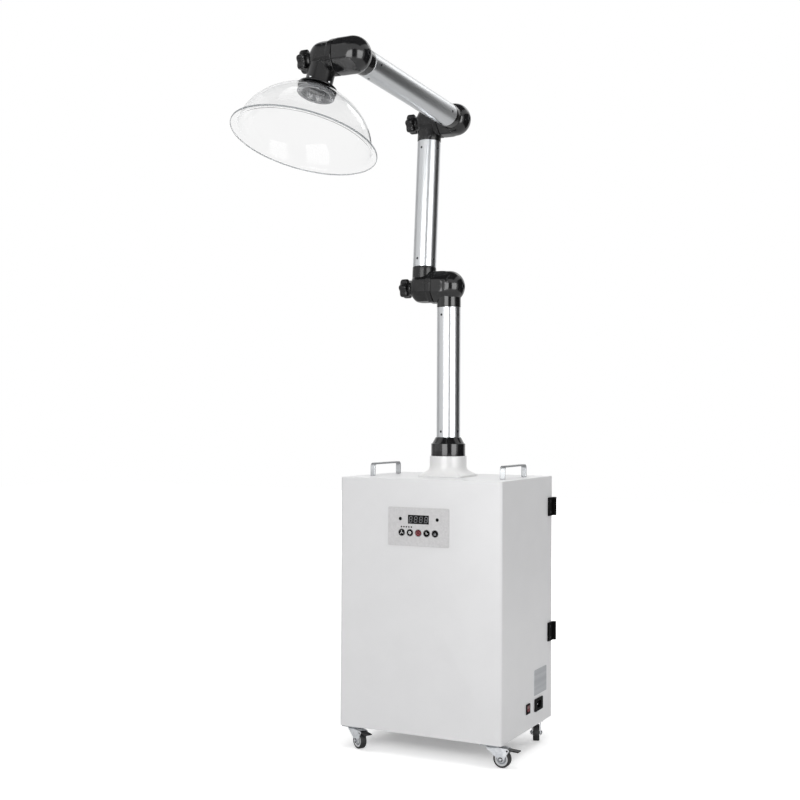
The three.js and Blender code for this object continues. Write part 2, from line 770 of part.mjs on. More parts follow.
function addSwivelBase() {
  const flareRows = 4;
  const ring = (blend, z) => Array.from({ length: roundSteps }, (_, i) => {
    const angle = (2 * Math.PI * (i + 0.5)) / roundSteps;
    const spread = [Math.cos(angle), Math.sin(angle)].map((share) => Math.abs(share) ** flangeSquareness);
    const square = (flangeSide / 2) * (spread[0] + spread[1]) ** (-1 / flangeSquareness);
    const radius = THREE.MathUtils.lerp(square, flangeNeckRadius, blend);
    return new THREE.Vector3(radius * Math.cos(angle), radius * Math.sin(angle), z);
  });
  const plateTop = flangeSeat + flangePlate;
  const flare = Array.from({ length: flareRows + 1 }, (_, k) => {
    const rise = k / flareRows;
    return ring(1 - (1 - rise) ** 2, plateTop + flangeFlare * rise);
  });
  const skin = loft([ring(0, flangeSeat), ...flare, ring(1, flangeTop)]);
  const stubRadius = ductHoleRadius - flangeStubPlay;
  const flange = cut(
    join(skin, rod(stubRadius, insideTop - flangeStub, flangeSeat + joinOver)),
    rod(flangeBoreRadius, ledgeTop, flangeTop + cutOver),
    rod(ductRadius, insideTop - flangeStub - cutOver, ledgeTop + cutOver),
  );
  addMesh(part, 'inlet_flange', flange, whiteNylon);

  const spigotBottom = flangeTop - collarSpigot;
  const tubeHole = holeRadius(tubeRadius, roundSteps);
  const collarBottom = flangeTop + seatGap;
  const collar = revolve([
    [tubeHole, spigotBottom],
    [flangeBoreRadius - runGap, spigotBottom],
    [flangeBoreRadius - runGap, collarBottom],
    [collarRadius, collarBottom],
    [collarRadius, collarBottom + collarHeight],
    [tubeHole + collarLip, collarBottom + collarHeight + collarCone],
    [tubeHole, collarBottom + collarHeight + collarCone],
  ]);
  addMesh(part, 'swivel_collar', collar, blackNylon);

  const bush = pipe(flangeBoreRadius - runGap, tubeHole, ledgeTop + seatGap, spigotBottom - seatGap);
  addMesh(part, 'swivel_bush', bush, greyNylon);
}

addSwivelBase();

// Elbow: two moulded halves side by side on one axis along X, each a capsule with eight flats and a neck.
// The ball half has its tube in the plane x = 0, and the knob half one joint offset to the left.
const matePlane = -jointOffset / 2;
const knobTube = -jointOffset;
const knobEnd = knobTube - elbowEnd;
const elbowBore = elbowFlat - elbowWall;
const spigotRadius = ductRadius - seatGap;
const boltSeat = elbowRadius - boltHead - boltHeadSink;

function capsule(side, radius, start, end) {
  const arcSteps = 4;
  const [centre, sign] = side === 'ball' ? [0, 1] : [knobTube, -1];
  const stop = Math.asin(Math.min(end / radius, 1));
  const profile = [[0, start], [radius, start]];
  for (let i = 0; i <= arcSteps; i += 1) {
    const angle = (stop * i) / arcSteps;
    profile.push([radius * Math.cos(angle), centre + sign * radius * Math.sin(angle)]);
  }
  const tip = profile[profile.length - 1];
  if (tip[0] > 1e-6) profile.push([0, tip[1]]);
  else tip[0] = 0;
  return revolve(profile, 'x', elbowSteps);
}

function octagonPrism(flat, x0, x1) {
  const corner = flat / Math.cos(Math.PI / 8);
  const shape = new THREE.Shape();
  for (let i = 0; i < 8; i += 1) {
    const angle = ((i + 0.5) * Math.PI) / 4;
    const [y, z] = [corner * Math.cos(angle), corner * Math.sin(angle)];
    if (i === 0) shape.moveTo(y, z);
    else shape.lineTo(y, z);
  }
  return sidePlate(shape, x0, x1);
}

// The knob half is full size only in a collar at the mating face. Past it the body stands in by the waist.
function elbowShell(side, mate, end) {
  if (side === 'ball') {
    return capsule(side, elbowRadius, mate, end).intersect(octagonPrism(elbowFlat, mate, end));
  }
  const collarEnd = mate - elbowCollar;
  const collar = rod(elbowRadius, collarEnd, mate, 'x', elbowSteps).intersect(
    octagonPrism(elbowFlat, collarEnd, mate),
  );
  const body = capsule(side, elbowRadius - elbowWaist, mate, end).intersect(
    octagonPrism(elbowFlat - elbowWaist, knobEnd, mate),
  );
  return join(collar, body);
}

function elbowHalf(side, reach, spigot, { lean = 0, flange = 0 } = {}) {
  const ball = side === 'ball';
  const [centre, sign] = ball ? [0, 1] : [knobTube, -1];
  const end = ball ? elbowRadius : elbowEnd;
  const endWall = ball ? elbowPole : elbowWall;
  const mate = matePlane + (sign * seatGap) / 2;
  const tilted = (body) => body.rotate([0, THREE.MathUtils.radToDeg(lean), 0]).translate([centre, 0, 0]);
  const shell = elbowShell(side, mate, end);
  const bore = ball ? elbowBore : elbowBore - elbowWaist;
  const cavity = capsule(side, bore, mate - sign * cutOver, end - endWall);
  const neckRod = (radius, from, to) => rod(radius, from, to, 'z', elbowSteps);
  const neck = tilted(join(
    neckRod(neckRadius, 0, reach),
    neckRod(Math.max(neckRadius, flange), reach - hoodFlange, reach),
    neckRod(spigotRadius, reach - joinOver, reach + spigot),
  ));
  const neckBore = tilted(neckRod(spigotRadius - spigotWall, 0, reach + spigot + cutOver));
  const boltHole = rod(holeRadius(boltRadius), knobEnd - cutOver, elbowRadius + cutOver, 'x', smallSteps);
  const half = cut(join(shell, neck), cavity, neckBore, boltHole);
  if (!ball) return half;
  return cut(half, rod(boltHeadRadius + boltHeadPlay, boltSeat, elbowRadius + cutOver, 'x', smallSteps));
}

// The through-bolt runs from its head in the ball half to the end of the knob's bore.
function elbowBolt() {
  const headSeat = boltSeat + runGap;
  const shankEnd = knobEnd - seatGap - knobBore + boltEndPlay;
  return join(
    rod(boltHeadRadius, headSeat, headSeat + boltHead, 'x', hexSides),
    rod(boltRadius, shankEnd, headSeat + joinOver, 'x', smallSteps),
  );
}

function elbowKnob() {
  const pointCount = 6 * knobLobes;
  const shape = new THREE.Shape();
  for (let i = 0; i < pointCount; i += 1) {
    const angle = (2 * Math.PI * i) / pointCount;
    const radius = knobRadius + knobLobe * Math.cos(knobLobes * angle);
    const [y, z] = [radius * Math.cos(angle), radius * Math.sin(angle)];
    if (i === 0) shape.moveTo(y, z);
    else shape.lineTo(y, z);
  }
  const seat = knobEnd - seatGap;
  const grip = sidePlate(shape, seat - knobHub - knobThickness, seat - knobHub);
  const hub = revolve([
    [0, seat - knobHub - joinOver],
    [knobHubRadius + knobHubFlare, seat - knobHub - joinOver],
    [knobHubRadius, seat],
    [0, seat],
  ], 'x', smallSteps);
  return cut(join(grip, hub), rod(holeRadius(boltRadius), seat - knobBore, seat + cutOver, 'x', smallSteps));
}

function addElbow(name, ballParent, ballTurn, ballFrom, knobParent, knobTurn, knobFrom, hoodNeck) {
  const ballShape = elbowHalf('ball', neckReach, spigotLength);
  const ball = addMesh(ballParent, `${name}_ball_half`, ballShape, blackNylon);
  ball.rotation.x = ballTurn;
  ball.position.z = ballFrom;
  const bolt = addMesh(ballParent, `${name}_bolt`, elbowBolt(), zinc);
  bolt.position.z = ballFrom;
  const half = hoodNeck
    ? elbowHalf('knob', hoodNeck.reach, hoodNeck.spigot, { lean: hoodLean, flange: hoodFlangeRadius })
    : elbowHalf('knob', neckReach, spigotLength);
  const knobHalf = addMesh(knobParent, `${name}_knob_half`, half, blackNylon);
  knobHalf.rotation.x = knobTurn;
  knobHalf.position.z = knobFrom;
  const knob = addMesh(knobParent, `${name}_knob`, elbowKnob(), blackNylon);
  knob.position.z = knobFrom;
}

function addTube(parent, name, from, to, x = 0) {
  addMesh(parent, name, pipe(tubeRadius, ductRadius, from, to), aluminium).position.x = x;
}

// Dome of the hood: height over the joint axis at a given radius, on the outer or the inner skin.
function domeHeight(radius, inset) {
  const ratio = (radius / (hoodDomeRadius - inset)) ** (1 / hoodPoint);
  return hoodRim - (hoodDomeHeight - inset) * Math.sqrt(1 - ratio ** 2);
}

const hoodHole = spigotRadius + hoodPlay;
const hoodSeat = domeHeight(hoodHole, 0) - seatGap;

function addHood(parent) {
  const dome = (inset) => {
    const span = hoodDomeRadius - inset;
    const ringAngle = Math.acos((ringRadius / span) ** (1 / hoodPoint));
    const points = Array.from({ length: hoodRows + 1 }, (_, i) => {
      const angle = (ringAngle * i) / hoodRows;
      return [span * Math.cos(angle) ** hoodPoint, hoodRim - (hoodDomeHeight - inset) * Math.sin(angle)];
    });
    return [...points, [hoodHole, domeHeight(hoodHole, inset)]];
  };
  const brimTop = hoodRim - hoodWall;
  const outer = dome(0).map(([radius, height]) => [radius, Math.min(height, brimTop)]);
  const inner = dome(hoodWall).reverse();
  const hood = revolve([
    ...outer,
    ...inner,
    [hoodRimRadius, hoodRim],
    [hoodRimRadius, hoodRim - hoodBead],
    [hoodRimRadius - hoodWall, hoodRim - hoodBead],
    [hoodRimRadius - hoodWall, brimTop],
  ], 'z', hoodSteps);
  addMesh(parent, 'hood', hood, clearAcrylic);

  const ringTop = domeHeight(ringRadius, hoodWall) + seatGap;
  const ringBottom = ringTop + ringHeight;
  const bore = hoodHole;
  const ring = revolve([
    [bore, domeHeight(bore, hoodWall) + seatGap],
    [ringRadius, ringTop],
    [ringRadius, ringBottom],
    [ringRadius - ringWall, ringBottom],
    [bore, ringBottom - ringWall],
  ]);
  addMesh(parent, 'hood_ring', ring, greyNylon);
  return ringBottom;
}

function addArm() {
  const lowerArm = new THREE.Group();
  lowerArm.position.z = joint1Height;
  const middleArm = new THREE.Group();
  middleArm.position.z = joint1Height;
  middleArm.rotation.x = middleLean;
  const upperArm = new THREE.Group();
  upperArm.position.z = middleLength;
  upperArm.rotation.x = upperTurn;
  const hoodArm = new THREE.Group();
  hoodArm.position.z = upperLength;
  hoodArm.rotation.x = hoodTurn;
  part.add(lowerArm, middleArm);
  middleArm.add(upperArm);
  upperArm.add(hoodArm);
  const hoodAxis = new THREE.Group();
  hoodAxis.position.x = knobTube;
  hoodAxis.rotation.y = hoodLean;
  hoodArm.add(hoodAxis);

  const tubeEnd = neckReach + seatGap;
  addTube(lowerArm, 'lower_tube', ledgeTop + seatGap - joint1Height, -tubeEnd);
  addTube(middleArm, 'middle_tube', tubeEnd, middleLength - tubeEnd, knobTube);
  addTube(upperArm, 'upper_tube', tubeEnd, upperLength - tubeEnd);
  const ringBottom = addHood(hoodAxis);
  const hoodNeck = { reach: hoodSeat, spigot: ringBottom - ringWall - seatGap - hoodSeat };
  addElbow('elbow1', lowerArm, Math.PI, 0, middleArm, 0, 0);
  addElbow('elbow2', upperArm, 0, 0, middleArm, Math.PI, middleLength);
  addElbow('elbow3', upperArm, Math.PI, upperLength, hoodArm, 0, 0, hoodNeck);
}

addArm();

// Rear door on two hinges at the right, with exhaust louvres and a quarter-turn latch at the left.
const hingeX = sideSeat + hingeKnuckleRadius;
const hingeY = rearFace + seatGap + hingeKnuckleRadius;
const latchX = -(rightFace - latchInset);
const tongueLength = latchInset - sheet - 2 * seatGap - cutOver;

function addDoor() {
  const rimX = insideRight - rearReturn - doorRimPlay;
  const rimTop = insideTop - rearReturn - doorRimPlay;
  const rimBottom = panFlange + doorRimPlay;
  const panel = box(-rightFace, rightFace, doorFront, rearFace, 0, cabinetHeight);
  const rim = cut(
    box(-rimX, rimX, doorFront - doorStiffener, doorFront + sheet / 2, rimBottom, rimTop),
    box(-rimX + sheet, rimX - sheet, doorFront - doorStiffener - cutOver, doorFront + sheet,
      rimBottom + sheet, rimTop - sheet),
    box(-rimX - cutOver, latchX, doorFront - doorStiffener - cutOver, doorFront,
      latchHeight - tongueLength - cutOver, latchHeight + latchTongueWidth),
  );
  const slots = [];
  for (let row = 0; row < louvreRows; row += 1) {
    for (let column = 0; column < louvreColumns; column += 1) {
      const x = (column - (louvreColumns - 1) / 2) * louvreColumnPitch;
      const z = louvreBottom + row * louvrePitch;
      const [left, right] = [x - louvreWidth / 2, x + louvreWidth / 2];
      slots.push(box(left, right, doorFront - cutOver, rearFace + cutOver, z, z + louvreHeight));
    }
  }
  const shaftHoleRadius = holeRadius(latchShaftRadius);
  const shaftHole = rod(shaftHoleRadius, doorFront - cutOver, rearFace + cutOver, 'y', smallSteps);
  const door = cut(join(panel, rim), ...slots, shaftHole.translate([latchX, 0, latchHeight]));
  addMesh(part, 'rear_door', door, powderWhite);

  const tongueBack = shellRear - sheet - seatGap;
  const latch = join(
    rod(latchRadius, rearFace + seatGap, rearFace + latchHead, 'y', mediumSteps),
    rod(latchShaftRadius, tongueBack - latchTongueThickness, rearFace + joinOver, 'y', smallSteps),
    box(-latchTongueWidth / 2, latchTongueWidth / 2, tongueBack - latchTongueThickness, tongueBack,
      -tongueLength, latchTongueWidth / 2),
  );
  addMesh(part, 'door_latch', latch, zinc).position.set(latchX, 0, latchHeight);
}

// The fixed leaf holds the pin between its two knuckles, and the door leaf has the middle knuckle.
function addHinge(name, z) {
  const third = hingeHeight / 3;
  const leafEnd = hingeX - hingeLeafWidth;
  const axis = [hingeX, hingeY, 0];
  const pin = rod(hingePinRadius, 0, hingeHeight, 'z', smallSteps).translate(axis);
  const knuckle = (low, high) => rod(hingeKnuckleRadius, low, high, 'z', smallSteps).translate(axis);
  const sideTab = (low, high) => join(
    box(sideSeat, sideSeat + hingeLeafThickness, rearFace - joinOver, hingeY, low, high),
    knuckle(low, high),
  );
  const fixed = join(
    box(sideSeat, sideSeat + hingeLeafThickness, hingeY - hingeLeafWidth, rearFace, 0, hingeHeight),
    sideTab(0, third - runGap),
    sideTab(2 * third + runGap, hingeHeight),
    pin,
  );
  addMesh(part, `${name}_hinge_side_leaf`, fixed, blackNylon).position.z = z - hingeHeight / 2;

  const backSeat = rearFace + seatGap;
  const moving = cut(
    join(
      box(leafEnd, rightFace, backSeat, backSeat + hingeLeafThickness, 0, hingeHeight),
      box(rightFace - joinOver, hingeX, backSeat, backSeat + hingeLeafThickness, third, 2 * third),
      knuckle(third, 2 * third),
    ),
    rod(holeRadius(hingePinRadius), -cutOver, hingeHeight + cutOver, 'z', smallSteps).translate(axis),
  );
  addMesh(part, `${name}_hinge_door_leaf`, moving, blackNylon).position.z = z - hingeHeight / 2;
}

addDoor();
addHinge('upper', hingeCentres[0]);
addHinge('lower', hingeCentres[1]);

// Caster: a plate with its race and kingpin, a fork that swivels, a wheel, and a pedal on the front pair.
const axleHeight = -(casterHeight - wheelRadius);
const plateBottom = -seatGap - casterPlateThickness;
const raceBottom = plateBottom - raceHeight;
const forkTop = raceBottom - seatGap;
const forkBottom = forkTop - forkDisc;
const cheekIn = wheelWidth / 2 + wheelSide;
const cheekOut = cheekIn + forkWall;
const kingpinEnd = forkBottom - seatGap - kingpinHead;
const pedalX = trail + pedalAhead;
const pedalZ = axleHeight + wheelRadius;

function casterFork(brake) {
  const lug = pedalBoss + pedalLugWall;
  const shape = new THREE.Shape();
  const heel = forkHeelInset - forkRadius;
  shape.moveTo(heel, forkTop);
  shape.lineTo(heel, forkBottom - forkHeelDrop);
  shape.lineTo(trail - axleEye, axleHeight);
  shape.absarc(trail, axleHeight, axleEye, Math.PI, 2 * Math.PI);
  if (brake) {
    shape.lineTo(pedalX + lug, pedalZ);
    shape.absarc(pedalX, pedalZ, lug, 0, Math.PI / 2);
  }
  shape.lineTo(brake ? pedalX - lug : trail, forkTop);
  const cheeks = join(uprightPlate(shape, -cheekOut, -cheekIn), uprightPlate(shape, cheekIn, cheekOut));
  const kingpinHoleRadius = holeRadius(kingpinRadius);
  const kingpinHole = rod(kingpinHoleRadius, forkBottom - cutOver, forkTop + cutOver, 'z', smallSteps);
  const disc = cut(rod(forkRadius, forkBottom, forkTop, 'z', mediumSteps), kingpinHole);
  const axle = join(
    rod(axleRadius, -cheekOut, cheekOut, 'y', smallSteps),
    rod(axleHeadRadius, -cheekOut - axleHead, -cheekOut, 'y', hexSides),
    rod(axleHeadRadius, cheekOut, cheekOut + axleHead, 'y', hexSides),
  ).translate([trail, 0, axleHeight]);
  const fork = join(cheeks, disc, axle);
  if (!brake) return fork;
  const pinHole = rod(holeRadius(pedalPin), -cheekOut - cutOver, cheekOut + cutOver, 'y', smallSteps);
  return cut(fork, pinHole.translate([pedalX, 0, pedalZ]));
}

function addCaster({ name, x, y, turn, brake }) {
  const caster = new THREE.Group();
  caster.position.set(x, y, 0);
  caster.rotation.z = THREE.MathUtils.degToRad(turn);
  part.add(caster);
  const plate = join(
    box(-casterPlate / 2, casterPlate / 2, -casterPlate / 2, casterPlate / 2, plateBottom, -seatGap),
    rod(raceRadius, raceBottom, plateBottom + joinOver, 'z', mediumSteps),
    rod(kingpinRadius, kingpinEnd, raceBottom + joinOver, 'z', smallSteps),
    rod(kingpinHeadRadius, kingpinEnd, forkBottom - seatGap, 'z', smallSteps),
  );
  addMesh(part, `${name}_caster_plate`, plate, zinc).position.set(x, y, 0);
  addMesh(caster, `${name}_caster_fork`, casterFork(brake), zinc);

  const half = wheelWidth / 2;
  const wheel = addMesh(caster, `${name}_caster_wheel`, revolve([
    [holeRadius(axleRadius, roundSteps), -half],
    [wheelRadius - wheelChamfer, -half],
    [wheelRadius, -half + wheelChamfer],
    [wheelRadius, half - wheelChamfer],
    [wheelRadius - wheelChamfer, half],
    [holeRadius(axleRadius, roundSteps), half],
  ], 'y'), blackRubber);
  wheel.position.set(trail, 0, axleHeight);
  wheel.rotation.y = Math.PI / roundSteps;

  if (!brake) return;
  const boss = rod(pedalBoss, -pedalWidth / 2, pedalWidth / 2, 'y', smallSteps);
  const pin = rod(pedalPin, -cheekOut, cheekOut, 'y', smallSteps);
  const padShape = new THREE.Shape();
  padShape.moveTo(0, pedalRise - pedalThickness / 2);
  padShape.lineTo(pedalLength, pedalRise - pedalThickness);
  padShape.absarc(pedalLength, pedalRise - pedalThickness / 2, pedalThickness / 2, -Math.PI / 2, Math.PI / 2);
  padShape.lineTo(0, pedalRise + pedalThickness / 2);
  const pad = uprightPlate(padShape, -pedalWidth / 2, pedalWidth / 2);
  const pedal = addMesh(caster, `${name}_brake_pedal`, join(boss, pin, pad), blackNylon);
  pedal.position.set(pedalX, 0, pedalZ);
}

casters.forEach(addCaster);

export default part;
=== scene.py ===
import math
import bmesh
import bpy
import numpy as np
from mathutils import Matrix


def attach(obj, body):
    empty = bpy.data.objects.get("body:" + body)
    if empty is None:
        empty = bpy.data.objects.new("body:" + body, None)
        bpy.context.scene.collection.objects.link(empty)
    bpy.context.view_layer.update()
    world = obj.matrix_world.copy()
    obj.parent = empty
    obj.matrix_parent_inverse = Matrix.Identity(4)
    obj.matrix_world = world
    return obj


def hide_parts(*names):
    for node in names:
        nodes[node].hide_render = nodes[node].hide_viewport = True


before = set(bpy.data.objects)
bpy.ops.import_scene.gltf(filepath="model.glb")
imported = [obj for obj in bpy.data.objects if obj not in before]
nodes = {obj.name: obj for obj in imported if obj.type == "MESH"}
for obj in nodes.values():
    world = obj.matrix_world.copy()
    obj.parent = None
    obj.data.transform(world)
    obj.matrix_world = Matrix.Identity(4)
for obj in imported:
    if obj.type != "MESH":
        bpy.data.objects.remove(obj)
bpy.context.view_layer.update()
mm = 0.001
print("frame loaded:", len(nodes), "CAD nodes")


# sRGB hex to linear: the toe below 0.04045 is a straight line, the rest a power of 2.4
def toLinear(hexText):
    srgb = np.array([int(hexText[i:i + 2], 16) for i in (1, 3, 5)]) / 255
    linear = np.where(srgb <= 0.04045, srgb / 12.92, ((srgb + 0.055) / 1.055) ** 2.4)
    return (*linear.tolist(), 1.0)


# one node with its settings, socket values and incoming links
def addNode(tree, kind, settings={}, values={}, links={}):
    node = tree.nodes.new(kind)
    for key, value in settings.items():
        setattr(node, key, value)
    for key, value in values.items():
        node.inputs[key].default_value = value
    for key, source in links.items():
        tree.links.new(source, node.inputs[key])
    return node


# A finish: a soft mottle blends two close tones, and a fine grain sets the gloss and a bump a tenth of its size.
# grain and mottle are sizes in mm; turn and stretch lay the grain along a piece's own direction.
def makeFinish(name, look):
    material = bpy.data.materials.new(name)
    material.use_nodes = True
    tree = material.node_tree
    shader = tree.nodes["Principled BSDF"]
    for socket, value in look.get("sockets", {}).items():
        shader.inputs[socket].default_value = value
    place = addNode(tree, "ShaderNodeTexCoord").outputs["Object"]
    laid = addNode(tree, "ShaderNodeMapping", {"vector_type": "TEXTURE"},
                   {"Rotation": look.get("turn", (0, 0, 0)), "Scale": look.get("stretch", (1, 1, 1))},
                   {"Vector": place}).outputs["Vector"]
    mottle = addNode(tree, "ShaderNodeTexNoise", {}, {"Scale": 1 / (look["mottle"] * mm), "Detail": 3.0},
                     {"Vector": laid}).outputs["Fac"]
    if look.get("cells"):
        grain = addNode(tree, "ShaderNodeTexVoronoi", {}, {"Scale": 1 / (look["grain"] * mm)},
                        {"Vector": laid}).outputs["Distance"]
    else:
        grain = addNode(tree, "ShaderNodeTexNoise", {}, {"Scale": 1 / (look["grain"] * mm), "Detail": 2.0},
                        {"Vector": laid}).outputs["Fac"]
    # the middle third of the mottle takes the whole step from the dark tone to the light one
    spread = addNode(tree, "ShaderNodeMapRange", {}, {1: 0.35, 2: 0.65}, {0: mottle}).outputs[0]
    tone = addNode(tree, "ShaderNodeMix", {"data_type": "RGBA"},
                   {6: toLinear(look["dark"]), 7: toLinear(look["light"])}, {0: spread})
    gloss = addNode(tree, "ShaderNodeMapRange", {}, {3: look["gloss"][0], 4: look["gloss"][1]}, {0: grain})
    bump = addNode(tree, "ShaderNodeBump", {}, {"Strength": look["bump"], "Distance": look["grain"] * mm * 0.1},
                   {"Height": grain})
    tree.links.new(tone.outputs[2], shader.inputs["Base Color"])
    tree.links.new(gloss.outputs[0], shader.inputs["Roughness"])
    tree.links.new(bump.outputs[0], shader.inputs["Normal"])
    return material


# epoxy powder coat on sheet steel: satin, with the faint orange peel of baked powder (drawn at 2.2 mm to show)
powderCoat = makeFinish("powder_coated_steel", {
    "dark": "#e7e7e8", "light": "#e9e9ea", "gloss": (0.32, 0.4), "grain": 2.2, "mottle": 60, "bump": 0.1,
    "sockets": {"IOR": 1.5}})
# glass-filled nylon from a polished mould: deep black with clear reflections
glossNylon = makeFinish("polished_black_nylon", {
    "dark": "#171718", "light": "#1e1e1f", "gloss": (0.12, 0.17), "grain": 1.2, "mottle": 18, "bump": 0.04,
    "sockets": {"IOR": 1.53, "Specular IOR Level": 0.5}})
# the same nylon from a spark-eroded mould: a soft grey sheen over a fine pebble
mattNylon = makeFinish("textured_black_nylon", {
    "dark": "#141415", "light": "#1b1b1c", "gloss": (0.2, 0.29), "grain": 1.1, "mottle": 14, "bump": 0.15,
    "sockets": {"IOR": 1.53, "Specular IOR Level": 0.35}})
# dead-flat black nylon of hinges, bezels and keys: hardly any sheen
deepNylon = makeFinish("flat_black_nylon", {
    "dark": "#060607", "light": "#0b0b0c", "gloss": (0.5, 0.62), "grain": 1.1, "mottle": 10, "bump": 0.15,
    "sockets": {"IOR": 1.53, "Specular IOR Level": 0.04}})
# nylon of the duct flange, moulded white: smooth, slightly waxy
whiteNylon = makeFinish("moulded_white_nylon", {
    "dark": "#e9e9e9", "light": "#eeeeed", "gloss": (0.3, 0.4), "grain": 1.5, "mottle": 30, "bump": 0.08,
    "sockets": {"IOR": 1.53}})
# grey ABS of the swivel bush: an even satin
greyAbs = makeFinish("moulded_grey_abs", {
    "dark": "#8a8b8d", "light": "#979899", "gloss": (0.32, 0.45), "grain": 1.2, "mottle": 16, "bump": 0.1,
    "sockets": {"IOR": 1.52}})
# pale grey nylon of the wheel hubs: an even satin
paleNylon = makeFinish("moulded_pale_nylon", {
    "dark": "#d6d7d9", "light": "#e2e3e4", "gloss": (0.3, 0.42), "grain": 1.2, "mottle": 8, "bump": 0.1,
    "sockets": {"IOR": 1.53}})
# grey nylon of the hood's clamp ring: darker, with clear reflections
ringNylon = makeFinish("moulded_grey_nylon", {
    "dark": "#5e5f61", "light": "#686a6c", "gloss": (0.16, 0.24), "grain": 1.2, "mottle": 14, "bump": 0.05,
    "sockets": {"IOR": 1.53}})
# stainless strap of the handles, dull-polished: a soft sheen with a faint lengthwise grain
polishedSteel = makeFinish("polished_stainless_steel", {
    "dark": "#a9abad", "light": "#b6b8ba", "gloss": (0.36, 0.42), "grain": 0.8, "mottle": 25, "bump": 0.01,
    "stretch": (1, 30, 1), "sockets": {"Metallic": 1.0}})
# zinc-plated pressings of the casters, latch and blower: bright grey with a soft spangle
zincPlate = makeFinish("zinc_plated_steel", {
    "dark": "#c6c9cd", "light": "#dfe1e4", "gloss": (0.34, 0.46), "grain": 3.5, "mottle": 9, "bump": 0.05,
    "cells": True, "sockets": {"Metallic": 0.5}})
# nickel-plated screw heads, nuts and pins: small and bright
nickelPlate = makeFinish("nickel_plated_steel", {
    "dark": "#b9bbbe", "light": "#d2d4d6", "gloss": (0.18, 0.28), "grain": 0.6, "mottle": 3, "bump": 0.05,
    "sockets": {"Metallic": 1.0}})
# black-oxide screws and bolts: a dark oily sheen
blackOxide = makeFinish("black_oxide_steel", {
    "dark": "#2a2b2d", "light": "#393a3d", "gloss": (0.3, 0.42), "grain": 0.6, "mottle": 3, "bump": 0.06,
    "sockets": {"Metallic": 1.0}})
# die-cast motor: dull grey with a sandy skin
castMetal = makeFinish("die_cast_aluminium", {
    "dark": "#7c7f83", "light": "#93969a", "gloss": (0.42, 0.6), "grain": 1.4, "mottle": 12, "bump": 0.3,
    "sockets": {"Metallic": 1.0}})
# polycarbonate overlay of the control panel with a velvet texture: no clear reflections
overlayFilm = makeFinish("textured_polycarbonate_film", {
    "dark": "#c9c8c9", "light": "#d2d1d2", "gloss": (0.42, 0.58), "grain": 0.9, "mottle": 4, "bump": 0.3,
    "sockets": {"IOR": 1.58}})
# smoked acrylic window over the display: nearly black and clear of grain
smokedWindow = makeFinish("smoked_acrylic_window", {
    "dark": "#030303", "light": "#060607", "gloss": (0.08, 0.14), "grain": 2, "mottle": 12, "bump": 0.02,
    "sockets": {"IOR": 1.49, "Specular IOR Level": 0.25}})
# unlit display segments: dull grey epoxy
segmentEpoxy = makeFinish("unlit_segment_epoxy", {
    "dark": "#77787b", "light": "#8a8c90", "gloss": (0.35, 0.5), "grain": 0.6, "mottle": 3, "bump": 0.05})
# screen-printed white ink of the key symbols: chalky
whiteInk = makeFinish("white_screen_ink", {
    "dark": "#dcdcdc", "light": "#efefef", "gloss": (0.5, 0.65), "grain": 0.4, "mottle": 2, "bump": 0.1})
# dusky red ink of the power symbol, hardly lighter than its key
duskyInk = makeFinish("dusky_red_ink", {
    "dark": "#7c343b", "light": "#8a4047", "gloss": (0.5, 0.65), "grain": 0.4, "mottle": 2, "bump": 0.1})
# dark ink of the printed dots and rings, and painted shade in the latch's slot: dead flat
darkInkAndShade = makeFinish("dark_screen_ink_and_shade", {
    "dark": "#040405", "light": "#09090a", "gloss": (0.5, 0.62), "grain": 0.4, "mottle": 2, "bump": 0.1,
    "sockets": {"Specular IOR Level": 0.05}})
# translucent-looking dark red of the rocker and the power key
redPolycarbonate = makeFinish("red_polycarbonate", {
    "dark": "#580d18", "light": "#691620", "gloss": (0.2, 0.3), "grain": 1, "mottle": 9, "bump": 0.05,
    "sockets": {"IOR": 1.58, "Specular IOR Level": 0.3}})
# brushed foil of the bare label plate, lines along its length
labelFoil = makeFinish("brushed_label_foil", {
    "dark": "#adafb3", "light": "#bfc1c4", "gloss": (0.34, 0.5), "grain": 0.7, "mottle": 10, "bump": 0.12,
    "stretch": (1, 40, 1), "sockets": {"Metallic": 0.75}})
# polyurethane tread: dull black with a dusty bloom
treadRubber = makeFinish("wheel_polyurethane", {
    "dark": "#121213", "light": "#212122", "gloss": (0.5, 0.72), "grain": 1.2, "mottle": 7, "bump": 0.3})
# pleated glass-fibre paper and its board frame: chalky, with loose fibres
filterPaper = makeFinish("glass_fibre_paper", {
    "dark": "#e3e0d6", "light": "#f3f1ea", "gloss": (0.8, 0.95), "grain": 1, "mottle": 5, "bump": 0.5})
# green solder mask over copper: glossy, with the tracks as a faint relief
solderMask = makeFinish("green_solder_mask", {
    "dark": "#174a30", "light": "#226644", "gloss": (0.25, 0.4), "grain": 2.5, "mottle": 3, "bump": 0.2,
    "cells": True})


# anodised tube: satin, with drawing lines along the tube; lean is the tube's turn about X in degrees
def anodisedTube(name, lean):
    return makeFinish(name, {
        "dark": "#c4c6c8", "light": "#cdcfd1", "gloss": (0.27, 0.33), "grain": 0.7, "mottle": 14, "bump": 0.03,
        "turn": (math.radians(lean), 0, 0), "stretch": (1, 1, 60), "sockets": {"Metallic": 1.0}})
